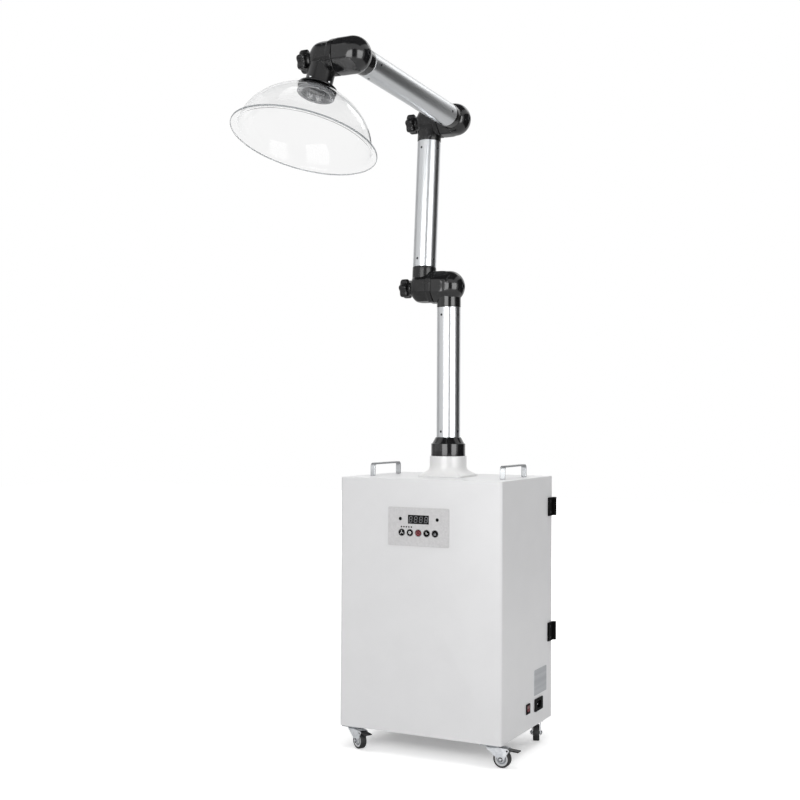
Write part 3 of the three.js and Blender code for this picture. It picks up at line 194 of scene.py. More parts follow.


# clear acrylic, blow-moulded: nearly colourless face on, with a grey of painted shade mixed in where the wall is seen
# edge on, and a haze of 40 mm in its gloss; clear is the share of light that goes through
def clearAcrylic(name, face, edge, ior, clear):
    material = bpy.data.materials.new(name)
    material.use_nodes = True
    tree = material.node_tree
    shader = tree.nodes["Principled BSDF"]
    shader.inputs["IOR"].default_value = ior
    shader.inputs["Transmission Weight"].default_value = clear
    place = addNode(tree, "ShaderNodeTexCoord").outputs["Object"]
    haze = addNode(tree, "ShaderNodeTexNoise", {}, {"Scale": 1 / (40 * mm), "Detail": 3.0}, {"Vector": place})
    gloss = addNode(tree, "ShaderNodeMapRange", {}, {3: 0.0, 4: 0.03}, {0: haze.outputs["Fac"]})
    # the edge colour, mixed in by facing, is painted shade along the wall's outline
    facing = addNode(tree, "ShaderNodeLayerWeight", {}, {"Blend": 0.3}).outputs["Facing"]
    paintedEdgeShade = addNode(tree, "ShaderNodeMath", {"operation": "POWER"}, {1: 2.5}, {0: facing})
    tintWithPaintedShade = addNode(tree, "ShaderNodeMix", {"data_type": "RGBA"},
                   {6: toLinear(face), 7: toLinear(edge)}, {0: paintedEdgeShade.outputs[0]})
    tree.links.new(tintWithPaintedShade.outputs[2], shader.inputs["Base Color"])
    tree.links.new(gloss.outputs[0], shader.inputs["Roughness"])
    return material


# the hood's edge grey is painted shade at the dome's outline
hoodAcrylic = clearAcrylic("clear_acrylic", "#f6f6f6", "#dadcdd", 1.18, 1.0)
# the rim's grey face and darker edge colours are painted shade for the dark line of the brim
shadedRimAcrylic = clearAcrylic("clear_acrylic_rim_painted_shade", "#b4b7b9", "#7d8083", 1.2, 0.6)
print("finishes made:", len(bpy.data.materials))


# frames as 4 x 4 matrices in mm: a turn in degrees about axis 0, 1 or 2, and a move
def turnAbout(axis, degrees):
    c, s = math.cos(math.radians(degrees)), math.sin(math.radians(degrees))
    i, j = (axis + 1) % 3, (axis + 2) % 3
    matrix = np.eye(4)
    matrix[i, i], matrix[i, j], matrix[j, i], matrix[j, j] = c, -s, s, c
    return matrix


turnX, turnY, turnZ = (lambda degrees, axis=axis: turnAbout(axis, degrees) for axis in range(3))


def moveBy(x, y, z):
    matrix = np.eye(4)
    matrix[:3, 3] = x, y, z
    return matrix


# a grid of points taken to a frame
def carry(matrix, grid):
    return grid @ matrix[:3, :3].T + matrix[:3, 3]


# heights, lengths and turns of the arm at rest; step is how far the air steps sideways in an elbow
arm = {"joint1": 988.5, "middle": 391.0, "upper": 484.0, "middleLean": -4.24, "upperTurn": 91.6, "hoodTurn": 76.9,
       "hoodLean": -5.85, "step": -64.0}
lowerArm = moveBy(0, 0, arm["joint1"])
middleArm = lowerArm @ turnX(arm["middleLean"])
middleEnd = middleArm @ moveBy(0, 0, arm["middle"])
upperArm = middleEnd @ turnX(arm["upperTurn"])
upperEnd = upperArm @ moveBy(0, 0, arm["upper"])
hoodArm = upperEnd @ turnX(arm["hoodTurn"])
aside, turnOver = moveBy(arm["step"], 0, 0), turnX(180)
hoodAxis = hoodArm @ aside @ turnY(arm["hoodLean"])


# Turned grid: each (radius, height) of a profile swept round Z, one row per profile point
def turned(profile, count=96):
    profile = np.asarray(profile, float)
    angle = np.arange(count) * 2 * np.pi / count
    ring = np.stack([np.cos(angle), np.sin(angle), np.zeros(count)], -1)
    return profile[:, None, :1] * ring + profile[:, None, 1:] * np.array([0, 0, 1.0])


# closed shells from grids that all end the same way
def shellsOf(grids, close="caps"):
    return [(grid, close) for grid in grids]


# An arc of points about (r, z) from one angle to another, in degrees
def arc(r, z, radius, start, stop, count=7):
    angle = np.radians(np.linspace(start, stop, count))
    return np.stack([r + radius * np.cos(angle), z + radius * np.sin(angle)], -1)


# faces of a grid: quads between its rows and round its columns, and either a closed loop of rows or two caps
def gridFaces(rows, columns, loop, offset):
    i, j = np.meshgrid(np.arange(rows if loop else rows - 1), np.arange(columns), indexing="ij")
    i2, j2 = (i + 1) % rows, (j + 1) % columns
    quads = np.stack([i * columns + j, i * columns + j2, i2 * columns + j2, i2 * columns + j], -1).reshape(-1, 4)
    faces = (quads + offset).tolist()
    if not loop:
        faces.append((np.arange(columns)[::-1] + offset).tolist())
        faces.append((np.arange(columns) + (rows - 1) * columns + offset).tolist())
    return faces


# One mesh from several closed shells. Each shell is (grid in mm, how it closes): "caps" has both ends filled, and
# "loop" joins the last row to the first.
def makeMesh(name, shells):
    points, faces, offset = [], [], 0
    for grid, close in shells:
        rows, columns = grid.shape[:2]
        faces += gridFaces(rows, columns, close == "loop", offset)
        points.append(grid.reshape(-1, 3))
        offset += rows * columns
    mesh = bpy.data.meshes.new(name)
    mesh.from_pydata((np.concatenate(points) * mm).tolist(), [], faces)
    return mesh


# merges doubles and turns a closed mesh's faces outwards, where its signed volume has to come out positive
def closeUp(mesh, outward=True):
    work = bmesh.new()
    work.from_mesh(mesh)
    bmesh.ops.remove_doubles(work, verts=work.verts, dist=2e-6)
    bmesh.ops.dissolve_degenerate(work, edges=work.edges, dist=1e-7)
    if outward:
        bmesh.ops.recalc_face_normals(work, faces=work.faces)
        if work.calc_volume(signed=True) < 0:
            bmesh.ops.reverse_faces(work, faces=work.faces)
    work.to_mesh(mesh)
    work.free()


# smooths all but the sharp edges and gives the finish
def settle(obj, finish, sharp=35, outward=True):
    closeUp(obj.data, outward)
    mesh = obj.data
    mesh.polygons.foreach_set("use_smooth", np.ones(len(mesh.polygons), bool))
    mesh.set_sharp_from_angle(angle=math.radians(sharp))
    mesh.materials.clear()
    mesh.materials.append(finish)
    return obj


# a new piece from shells, riding on a body, with its finish and the CAD nodes it stands for
def addPiece(name, shells, finish, body, replaced=(), sharp=35):
    obj = bpy.data.objects.new(name, makeMesh(name, shells))
    bpy.context.scene.collection.objects.link(obj)
    settle(obj, finish, sharp)
    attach(obj, body)
    if replaced:
        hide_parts(*replaced)
    return obj


# Joins closed shells into one skin with an exact union, so no face is left inside
def fuse(obj, shells):
    other = bpy.data.objects.new("fusing", makeMesh("fusing", shells))
    bpy.context.scene.collection.objects.link(other)
    closeUp(other.data)
    union = obj.modifiers.new("union", "BOOLEAN")
    union.operation, union.solver, union.object = "UNION", "EXACT", other
    joined = bpy.data.meshes.new_from_object(obj.evaluated_get(bpy.context.evaluated_depsgraph_get()))
    obj.modifiers.clear()
    obj.data = joined
    bpy.data.objects.remove(other)


# rounds the edges that turn by more than the sharp angle; width in mm
def softenEdges(obj, width, segments, sharp):
    edge = obj.modifiers.new("edge", "BEVEL")
    edge.width, edge.segments, edge.limit_method = width * mm, segments, "ANGLE"
    edge.angle_limit, edge.harden_normals, edge.use_clamp_overlap = math.radians(sharp), True, True


# A CAD node's own shape with rounded edges: its triangles are merged, flat faces joined, and a bevel added
def roundedCopy(node, finish, body, slot, bevel=0.5, segments=2, sharp=35):
    obj = bpy.data.objects.new(node + "_finish", nodes[node].data.copy())
    bpy.context.scene.collection.objects.link(obj)
    work = bmesh.new()
    work.from_mesh(obj.data)
    bmesh.ops.remove_doubles(work, verts=work.verts, dist=2e-6)
    bmesh.ops.dissolve_limit(work, angle_limit=math.radians(0.6), verts=work.verts, edges=work.edges)
    work.to_mesh(obj.data)
    work.free()
    settle(obj, finish, sharp, False)
    softenEdges(obj, bevel, segments, sharp)
    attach(obj, body)
    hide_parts(node)
    return obj


# CAD nodes inside the cabinet whose own shape is right keep it, and get their finish
for node, finish in {"filter_shelf": powderCoat, "filter_cassette": filterPaper, "blower_housing": zincPlate,
                     "blower_motor": castMetal, "impeller": castMetal, "control_board": solderMask,
                     "swivel_bush": greyAbs}.items():
    nodes[node].material_slots[0].material = finish


# Gives the folded corners of a sheet their bend and its other sharp edges a fine break, as bevel weights. A folded
# corner lies on two of the named planes of the sheet's own box, each an axis and its low (0) or high (1) side.
def bendCorners(obj, bend, fine, planes):
    mesh = obj.data
    points, ends = np.empty(len(mesh.vertices) * 3), np.empty(len(mesh.edges) * 2, int)
    sharp = np.empty(len(mesh.edges), bool)
    mesh.vertices.foreach_get("co", points)
    mesh.edges.foreach_get("vertices", ends)
    mesh.attributes["sharp_edge"].data.foreach_get("value", sharp)
    points = points.reshape(-1, 3)
    box = np.stack([points.min(0), points.max(0)])
    near = np.stack([abs(points[:, axis] - box[side, axis]) for axis, side in planes], -1) < 1e-5
    folded = (near[ends[::2]] & near[ends[1::2]]).sum(1) >= 2
    weight = np.where(folded, 1.0, fine / bend) * sharp
    mesh.attributes.new("bevel_weight_edge", "FLOAT", "EDGE").data.foreach_set("value", weight)
    obj.modifiers["edge"].limit_method = "WEIGHT"


# widths of the sheet metal's bends and of the fine break on its other edges, in mm
sheetEdge = {"bend": 2.0, "fine": 0.4, "doorBend": 0.45}
# CAD shapes with softer edges: finish, body, slot, edge width in mm, its segments and the angle of a sharp edge
softened = {
    "cabinet_shell": (powderCoat, "cabinet", "powder_white", sheetEdge["bend"], 5),
    "base_pan": (powderCoat, "cabinet", "powder_white", sheetEdge["fine"]),
    "rear_door": (powderCoat, "door", "powder_white", sheetEdge["doorBend"], 3),
    "door_latch": (zincPlate, "latch", "zinc_steel", 0.6),
    "left_handle": (polishedSteel, "cabinet", "zinc_steel", 1.2, 4, 25),
    "right_handle": (polishedSteel, "cabinet", "zinc_steel", 1.2, 4, 25),
    "upper_hinge_side_leaf": (deepNylon, "cabinet", "black_nylon", 0.6, 3),
    "upper_hinge_door_leaf": (deepNylon, "door", "black_nylon", 0.6, 3),
    "lower_hinge_side_leaf": (deepNylon, "cabinet", "black_nylon", 0.6, 3),
    "lower_hinge_door_leaf": (deepNylon, "door", "black_nylon", 0.6, 3),
    "switch_bezel": (deepNylon, "cabinet", "black_nylon", 0.5, 3),
    "power_rocker": (redPolycarbonate, "rocker", "red_plastic", 0.6, 3),
    "power_inlet": (deepNylon, "cabinet", "black_nylon", 0.5, 3),
}
dressed = {node: roundedCopy(node, *row) for node, row in softened.items()}
bendCorners(dressed["cabinet_shell"], sheetEdge["bend"], sheetEdge["fine"], ((0, 0), (0, 1), (1, 0), (2, 1)))
bendCorners(dressed["rear_door"], sheetEdge["doorBend"], 0.0, ((0, 0), (0, 1), (1, 1), (2, 0), (2, 1)))


# Round head: a quarter of an ellipse from its radius to its height, turned about Z, with a skirt sunk below z 0
def screwHead(radius, height, sink=0.4, count=24):
    dome = arc(0, 0, 1, 0, 84, 6) * np.array([radius, height])
    return turned(np.concatenate([[[radius * 0.98, -sink]], dome, [[0.02, height]]]), count)


hingeScrew = {"radius": 3.0, "height": 0.9, "y": 134.5, "face": 198.8, "rise": 12.5, "levels": (485, 197)}
hingeHeads = [carry(moveBy(hingeScrew["face"], hingeScrew["y"], z + side * hingeScrew["rise"]) @ turnY(90),
                    screwHead(hingeScrew["radius"], hingeScrew["height"]))
              for z in hingeScrew["levels"] for side in (-1, 1)]
addPiece("hinge_screws", shellsOf(hingeHeads), blackOxide, "cabinet")


# Outline of a rectangle with a quarter circle at each corner
def platePath(width, height, radius, steps=8):
    corners = [(1, 1, 0), (-1, 1, 90), (-1, -1, 180), (1, -1, 270)]
    loops = [arc(sx * (width / 2 - radius), sz * (height / 2 - radius), radius, start, start + 90, steps)
             for sx, sz, start in corners]
    return np.concatenate(loops)


# Plate in three rows: its outline at the back, the same below the front edge, and one smaller by the edge in front
def plateGrid(width, height, radius, thickness, edge):
    outline = platePath(width, height, radius)
    inner = platePath(width - 2 * edge, height - 2 * edge, max(radius - edge, 0.05))
    flat = lambda loop, level: np.column_stack([loop, np.full(len(loop), level)])
    return np.stack([flat(outline, 0), flat(outline, thickness - edge), flat(inner, thickness)])


# plates below: plate is width, height, corner radius, thickness and edge, in mm
sideward = turnZ(90) @ turnX(90)  # local x goes back, local y goes up, local z comes out of the right side
pins = {"plate": (2.3, 4.3, 0.6, 11.3, 0.5), "floor": 180.4, "places": ((60, 43), (74, 43), (67, 48))}
pinGrids = [carry(moveBy(pins["floor"], y, z) @ sideward, plateGrid(*pins["plate"])) for y, z in pins["places"]]
addPiece("inlet_pins", shellsOf(pinGrids), nickelPlate, "cabinet")

# a thin dark plate on the latch's face: painted shade for the slot's recess
latchSlotShade = {"plate": (14, 2.2, 1.0, 0.1, 0.04), "at": (-163, 157.52, 300)}
slotGrid = carry(moveBy(*latchSlotShade["at"]) @ turnX(-90), plateGrid(*latchSlotShade["plate"]))
addPiece("latch_slot_painted_shade", shellsOf([slotGrid]), darkInkAndShade, "latch")

label = {"plate": (78, 57, 2.5, 0.4, 0.15), "at": (195.02, 80, 95.5)}
labelGrid = carry(moveBy(*label["at"]) @ sideward, plateGrid(*label["plate"]))
addPiece("label_plate", shellsOf([labelGrid]), labelFoil, "cabinet")
print("cabinet dressed")

panelEdge = {"overlay": 0.3, "window": 0.25}
roundedCopy("control_panel", overlayFilm, "cabinet", "grey_overlay", panelEdge["overlay"])
roundedCopy("display_module", smokedWindow, "cabinet", "black_nylon", panelEdge["window"])
frontward = turnX(90)  # local x stays, local y goes up, local z comes out of the front

display = {"face": -153.75, "z": 467.5, "pitch": 12.4, "height": 12.2, "width": 6.6, "bar": 1.15, "slant": 0.12}


# One bar of a digit: its half-width shrinks to nearly nothing at both ends, so the bar is a long hexagon
def segmentBar(start, stop, bar):
    start, stop = np.array(start, float), np.array(stop, float)
    along = np.array([0.06, 0.16, 0.5, 0.84, 0.94])
    half = np.array([0.05, 0.5, 0.5, 0.5, 0.05]) * bar
    middle = start + along[:, None] * (stop - start)
    across = np.array([start[1] - stop[1], stop[0] - start[0]]) / np.linalg.norm(stop - start)
    return np.stack([middle - half[:, None] * across, middle + half[:, None] * across], 1)


# A flat strip in the panel's plane as a thin closed slab: front and back copies of the grid joined into a loop
def printSlab(strip, level, thickness=0.06):
    front = np.concatenate([strip, np.full(strip.shape[:2] + (1,), level + thickness)], -1)
    back = np.concatenate([strip[:, ::-1], np.full(strip.shape[:2] + (1,), level)], -1)
    return np.concatenate([front, back], 1)


# the seven bars of a digit, as corners of a two-storey box in half-widths and half-heights
bars = [((-1, 1), (1, 1)), ((-1, 0), (1, 0)), ((-1, -1), (1, -1)),
        ((-1, 0), (-1, 1)), ((1, 0), (1, 1)), ((-1, -1), (-1, 0)), ((1, -1), (1, 0))]
digitHalf = np.array([display["width"] / 2, display["height"] / 2])
segments = []
for digit in range(4):
    for start, stop in bars:
        strip = segmentBar(start * digitHalf, stop * digitHalf, display["bar"])
        strip[..., 0] += strip[..., 1] * display["slant"] + (digit - 1.5) * display["pitch"]
        strip[..., 1] += display["z"]
        segments.append(carry(moveBy(0, display["face"], 0) @ frontward, printSlab(strip, 0)))
addPiece("display_segments", shellsOf(segments), segmentEpoxy, "cabinet", sharp=20)

# two sensor dots beside the display and five indicator dots under it
dots = {"face": -154.02, "sensor": ((-43.6, 468.2, 3.9), (45.4, 468.6, 3.9)), "first": -40.8, "pitch": 6.05,
        "z": 450.8, "radius": 1.8, "proud": 0.12, "sunk": 0.05}
spots = list(dots["sensor"]) + [(dots["first"] + i * dots["pitch"], dots["z"], dots["radius"]) for i in range(5)]
dotGrids = [carry(moveBy(x, dots["face"], z) @ frontward, screwHead(radius, dots["proud"], dots["sunk"], 20))
            for x, z, radius in spots]
addPiece("panel_dots", shellsOf(dotGrids), darkInkAndShade, "cabinet")

# flange is the catch behind the overlay, as its extra radius and two heights, and dish is pairs of radius and depth
key = {"radius": 7.0, "z": 438.4, "pitch": 20.1, "back": -143.1, "front": -154.9, "hole": 7.4, "ring": 0.6, "stem": 3.5,
       "flange": (0.9, 8.3, 9.4), "round": 0.7, "dish": ((5.6, 0.12), (4.0, 0.28), (2.0, 0.36), (0.05, 0.38)),
       "symbol": 1.3, "inkDepth": 0.3, "ink": 0.12, "ringInk": 0.05,
       "names": ("fan", "set", "power", "timer", "child_lock")}
keyTall = key["back"] - key["front"]


# Key cap: a stem, a flange, a rim with a rounded shoulder and a shallow dished face, turned about the key's own axis
def keyShape():
    (extra, low, high), radius, bend = key["flange"], key["radius"], key["round"]
    stem = [[key["stem"], 0], [key["stem"], low], [radius + extra, low], [radius + extra, high], [radius, high]]
    shoulder = arc(radius - bend, keyTall - bend, bend, 0, 90, 5)
    dish = [[across, keyTall - depth] for across, depth in key["dish"]]
    return turned(np.concatenate([stem, shoulder, dish]), 48)


# A stroke of even width along a path of points in the panel's plane
def stroke(path, width):
    path = np.asarray(path, float)
    run = np.gradient(path, axis=0)
    across = np.stack([-run[:, 1], run[:, 0]], -1) / np.linalg.norm(run, axis=1)[:, None]
    return np.stack([path - across * width / 2, path + across * width / 2], 1)


# Ring between two radii given as functions of the angle, from start to stop in degrees
def ringStrip(inner, outer, start=0, stop=360, count=49):
    angle = np.radians(np.linspace(start, stop, count))
    ray = np.stack([np.cos(angle), np.sin(angle)], -1)
    return np.stack([inner(angle)[:, None] * ray, outer(angle)[:, None] * ray], 1)


# the same radius at every angle
def even(radius):
    return lambda angle: np.full_like(angle, radius)


# Symbols in mm about a key's middle, before they are enlarged: a fan of three blades and a hub, a toothed wheel, a
# broken ring with a bar, two hands of a clock, and a padlock. A blade's radius is a half wave of the angle to a power,
# and the wheel's teeth are a square-edged wave, eight to the turn.
blade = ringStrip(even(0.4), lambda a: 0.4 + 3.2 * np.sin(np.clip((a - 1.2) / 0.9, 0, 1) * np.pi) ** 0.7, 64, 125, 17)
symbols = {
    "fan": [blade @ turnZ(turn)[:2, :2].T for turn in (0, 120, 240)] + [ringStrip(even(0.05), even(0.7))],
    "set": [ringStrip(even(0.9), lambda a: 2.5 + 0.5 * np.tanh(6 * np.cos(8 * a)), count=129)],
    "power": [ringStrip(even(2.4), even(3.0), 125, 415), stroke([(0, 1.2), (0, 2.3), (0, 3.4)], 0.6)],
    "timer": [stroke([(-0.6, 2.8), (-0.6, 0.8), (-0.6, -1.2)], 1.2),
              stroke([(-0.9, -0.9), (1.0, -0.7), (2.6, -0.5)], 1.2)],
    "child_lock": [stroke([(-2.1, -1.4), (0, -1.4), (2.1, -1.4)], 2.6),
                   ringStrip(even(1.2), even(1.8), 0, 180, 25)],
}
keyInks = {"power": duskyInk, "child_lock": segmentEpoxy}
keyRings = []
for index, name in enumerate(key["names"]):
    along = (index - 2) * key["pitch"]
    keyPlace = moveBy(along, key["back"], key["z"]) @ frontward
    finish, slot = (redPolycarbonate, "red_plastic") if name == "power" else (deepNylon, "black_nylon")
    addPiece(name + "_key", shellsOf([carry(keyPlace, keyShape())]), finish, name + "_button", [name + "_button"])
    marks = [carry(keyPlace, printSlab(strip * key["symbol"], keyTall - key["inkDepth"], key["ink"]))
             for strip in symbols[name]]
    addPiece(name + "_symbol", shellsOf(marks), keyInks.get(name, whiteInk), name + "_button", sharp=20)
    # a thin printed ring round each key hole
    ring = ringStrip(even(key["hole"]), even(key["hole"] + key["ring"]))
    keyRings.append(carry(moveBy(along, dots["face"], key["z"]) @ frontward, printSlab(ring, 0.0, key["ringInk"])))
addPiece("key_rings", shellsOf(keyRings), darkInkAndShade, "cabinet", sharp=20)
print("control panel dressed")

# liner is the flange's short sleeve through the cabinet's top: its radius and its lower end
flange = {"side": 104, "power": 40, "seat": 555.3, "plate": 4.0, "flare": 20, "neck": 42, "top": 602, "bore": 36,
          "ledge": 567, "duct": 25, "liner": (31, 539.5), "lip": 1.2, "break": 0.6, "rows": 14}
flangeAngle = (np.arange(128) + 0.5) * 2 * np.pi / 128


# one row of the flange: a radius, the same all round or one per angle, at a height
def flangeRing(radius, z):
    return np.stack([radius * np.cos(flangeAngle), radius * np.sin(flangeAngle), np.full(len(flangeAngle), z)], -1)


# Flange skin: the outline blends from a superellipse (blend 0) to a circle (blend 1)
def flangeRow(blend, z):
    power = flange["power"]
    spread = np.abs(np.cos(flangeAngle)) ** power + np.abs(np.sin(flangeAngle)) ** power
    return flangeRing(flange["side"] / 2 * spread ** (-1 / power) * (1 - blend) + flange["neck"] * blend, z)


plateTop = flange["seat"] + flange["plate"]
outside = [flangeRow(0, flange["seat"]), flangeRow(0.01, flange["seat"] + flange["break"]),
           flangeRow(0.01, plateTop - 1), flangeRow(0.04, plateTop)]
# above the plate the blend runs as 1 - (1 - rise) squared
outside += [flangeRow(0.06 + 0.94 * (1 - (1 - rise) ** 2), plateTop + 0.3 + flange["flare"] * rise)
            for rise in np.linspace(0, 1, flange["rows"])]
lip = [flangeRing(r, z) for r, z in arc(flange["neck"] - flange["lip"], flange["top"] - flange["lip"], flange["lip"],
                                        0, 90, 6)]
liner, linerEnd = flange["liner"]
bore = [(flange["bore"] + flange["break"], flange["top"]), (flange["bore"], flange["top"] - flange["break"]),
        (flange["bore"], flange["ledge"]), (flange["duct"], flange["ledge"]), (flange["duct"], linerEnd),
        (liner, linerEnd), (liner, flange["seat"])]
flangeGrid = np.stack(outside + lip + [flangeRing(r, z) for r, z in bore])
addPiece("duct_flange", shellsOf([flangeGrid], "loop"), whiteNylon, "cabinet", ["inlet_flange"])

# the collar is a drum with rounded rims and a cone on top, on a spigot that sits in the flange
collar = {"bottom": 602.3, "radius": 39, "tall": 28, "cone": 14.5, "tip": 28.4, "bore": 27.25, "spigot": 587,
          "spigotRadius": 35.8, "lowRim": 0.8, "highRim": 1.0}
drum, lowRim, highRim, tip = collar["radius"], collar["lowRim"], collar["highRim"], collar["tip"]
drumTop = collar["bottom"] + collar["tall"]
coneTop = drumTop + collar["cone"]
collarProfile = np.concatenate([
    [[collar["bore"], collar["spigot"]], [collar["spigotRadius"], collar["spigot"]],
     [collar["spigotRadius"], collar["bottom"]]],
    arc(drum - lowRim, collar["bottom"] + lowRim, lowRim, -90, 0, 5),
    arc(drum - highRim, drumTop - highRim, highRim, 0, 90, 5),
    [[drum - 2.2, drumTop + 0.1], [drum - 2.6, drumTop + 0.5], [tip + 1.2, coneTop - 1.6], [tip + 0.4, coneTop - 0.5],
     [tip - 0.5, coneTop], [collar["bore"], coneTop]]])
addPiece("swivel_collar_skin", shellsOf([turned(collarProfile, 128)], "loop"), glossNylon, "lower_arm",
         ["swivel_collar"])
print("swivel base dressed")

tube = {"radius": 27.0, "bore": 25.0, "edge": 0.5, "row": 30, "screwRadius": 2.7, "screwHeight": 0.9}


# Tube between two heights: its wall's section turned about Z, with a chamfer at each outer end
def tubeShell(low, high):
    outer, inner, edge, row = tube["radius"], tube["bore"], tube["edge"], tube["row"]
    return turned([[outer - edge, low], [outer, low + edge], [outer, low + row], [outer, (low + high) / 2],
                   [outer, high - row], [outer, high - edge], [outer - edge, high], [inner, high], [inner, low]], 128)


# four pan heads round each end of a tube, a quarter turn apart
def tubeScrews(heights, first):
    return [carry(turnZ(first + 90 * k) @ moveBy(tube["radius"], 0, z) @ turnY(90),
                  screwHead(tube["screwRadius"], tube["screwHeight"])) for z in heights for k in range(4)]


# each tube's place, its ends along Z, its body, its lean in degrees, its screws' heights and the first screw's turn
tubes = {
    "lower_tube": (lowerArm, (-421.2, -47.3), "lower_arm", 0.0, (-65.3, -331.0), -14),
    "middle_tube": (middleArm @ aside, (47.3, 343.7), "middle_arm", arm["middleLean"], (65.3, 325.7), -14),
    "upper_tube": (upperArm, (47.3, 436.7), "upper_arm", arm["middleLean"] + arm["upperTurn"], (70.3, 414.0), -5),
}
for name, (tubePlace, ends, body, lean, heights, first) in tubes.items():
    addPiece(name + "_skin", shellsOf([carry(tubePlace, tubeShell(*ends))], "loop"),
             anodisedTube("anodised_aluminium_" + body, lean), body, [name])
    tubeHeads = [carry(tubePlace, grid) for grid in tubeScrews(heights, first)]
    addPiece(name + "_screws", shellsOf(tubeHeads), blackOxide, body)
print("tubes dressed")

# plane is where the two halves meet, mate their gap to it, fade and fadeLong where the barrel runs into the ball,
# corner the round end of the knob half, tip the angle at which it stops, and hub its flat middle
elbow = {"ball": 37.1, "mate": 0.15, "plane": -32.0, "lead": 2.2, "chamfer": 0.8, "collar": 12.0, "waist": 2.5,
         "corner": 28.0, "tip": 84, "hub": 5.0, "end": -91.8, "recess": 7.8, "recessFloor": 32.6, "neck": 27.4,
         "reach": 47.0, "wall": 3, "bore": 36.0, "fade": -13.0, "fadeLong": 12, "sharpness": 34, "count": 160,
         "edge": 0.7, "sharp": 28}
# round radius and distance to the flats: the last elbow is the slimmer one, so that it stays under the solids' top
broadElbow, slimElbow = (39.4, 36.3), (37.0, 36.0)


# rows of points about the X axis: one row per x, with its radius at each angle
def aboutX(x, radius, angle):
    return np.stack([np.broadcast_to(np.reshape(x, (-1, 1)), radius.shape), radius * np.cos(angle),
                     radius * np.sin(angle)], -1)


# Elbow skin about the X axis. Each row has an x, a round radius and a distance to its eight flats, and the skin is the
# smooth lower bound of the circle and the octagon: (round^-p + octagon^-p)^(-1/p)
def elbowSkin(rows):
    rows = np.asarray(rows, float)
    angle = np.arange(elbow["count"]) * 2 * np.pi / elbow["count"]
    fold = (angle + np.pi / 8) % (np.pi / 4) - np.pi / 8
    octagon = rows[:, 2:3] / np.cos(fold)[None, :]
    power = elbow["sharpness"]
    return aboutX(rows[:, 0], (rows[:, 1:2] ** -power + octagon ** -power) ** (-1 / power), angle)


# Ball half: a barrel with a lead-in at the mating plane, whose round radius blends to the ball's with the square of the
# way along, then the ball, x = ball x sin(t) and radius = ball x cos(t), and a pocket for the bolt's head
def ballRows(r, flat):
    mate, lead, ball = elbow["plane"] + elbow["mate"], elbow["lead"], elbow["ball"]
    barrel = [[mate, r - lead, flat - lead], [mate + lead * 0.9, r - 0.2, flat - 0.2], [mate + lead * 1.2, r, flat]]
    for x in np.linspace(mate + lead + 2, -1, 16):
        blend = np.clip((x - elbow["fade"]) / elbow["fadeLong"], 0, 1) ** 2
        barrel.append([x, r + (ball - r) * blend, flat])
    stop = math.acos(elbow["recess"] / ball)
    dome = [[ball * math.sin(t), ball * math.cos(t), flat] for t in np.linspace(0, stop, 30)]
    rim = ball * math.sin(stop)
    pocket = [[rim - 0.25, elbow["recess"] - 0.35, ball], [elbow["recessFloor"], elbow["recess"] - 0.4, ball]]
    return barrel + dome + pocket


# Knob half: a chamfered collar, a shoulder down to the narrower body, and a round end that runs into a flat hub
def knobRows(r, flat):
    mate, bevel, end = elbow["plane"] - elbow["mate"], elbow["chamfer"], elbow["end"]
    waist, corner, step = elbow["waist"], elbow["corner"], elbow["plane"] - elbow["mate"] - elbow["collar"]
    small, face = r - waist, flat - waist
    collarRows = [[mate, r - bevel, flat - bevel], [mate - bevel * 0.5, r - 0.3, flat - 0.3], [mate - bevel, r, flat]]
    collarRows += [[x, r, flat] for x in np.linspace(mate - 2, step + 1.5, 5)]
    shoulder = [[step + 0.6, r - 0.3, flat - 0.3], [step - 0.2, r - waist * 0.4, flat - waist * 0.4],
                [step - 0.9, r - waist * 0.8, flat - waist * 0.8], [step - 1.8, small, face]]
    body = [[x, small, face] for x in np.linspace(step - 4, end + corner + 1, 7)]
    cap = [[end + corner * (1 - math.sin(t)), small - corner * (1 - math.cos(t)), face]
           for t in np.linspace(0, math.radians(elbow["tip"]), 18)]
    hub = [[end, small - corner - 1.0, face], [end, elbow["hub"], face]]
    return collarRows + shoulder + body + cap + hub


# Neck about Z at its own place along X: a plain tube socket with a softened lip, or with the hood's flange at its end
def neckShape(reach, flangeRadius=0):
    r, inner, foot = elbow["neck"], elbow["neck"] - elbow["wall"], reach - 3
    root = [[inner, 6], [r, 9]]
    lip = [[[r, reach - 8]], arc(r - 0.9, reach - 0.9, 0.9, 0, 90, 5), [[inner, reach]]]
    if flangeRadius:
        lip = [[[r, foot - 6], [r + 0.2, foot - 3.2], [r + 1.0, foot - 1.2], [r + 2.4, foot]],
               arc(flangeRadius - 1.2, foot + 1.2, 1.2, -90, 0, 5),
               [[flangeRadius - 0.3, reach], [inner, reach], [inner, elbow["bore"]], [0.3, elbow["bore"]]]]
    return turned(np.concatenate([root, *lip]), 112)


hood = {"rim": 181.6, "brim": 147.6, "dome": 135.0, "tall": 120.5, "point": 1.3, "wall": 1.5, "bead": 3.0, "bend": 6.0,
        "lip": 146.2, "hole": 25.3, "flange": 40.0, "corner": 0.6, "gap": 0.3}


# Height of the dome at a radius, along the hood's own axis: rim - tall x square root of
# (1 - (radius / dome)^(2 / point))
def domeHeight(radius, inset):
    ratio = (radius / (hood["dome"] - inset)) ** (1 / hood["point"])
    return hood["rim"] - (hood["tall"] - inset) * np.sqrt(1 - ratio ** 2)


# the last neck ends where the dome has its hole
hoodNeck = neckShape(float(domeHeight(hood["hole"], 0)) - hood["gap"], hood["flange"])
plainNeck = neckShape(elbow["reach"])
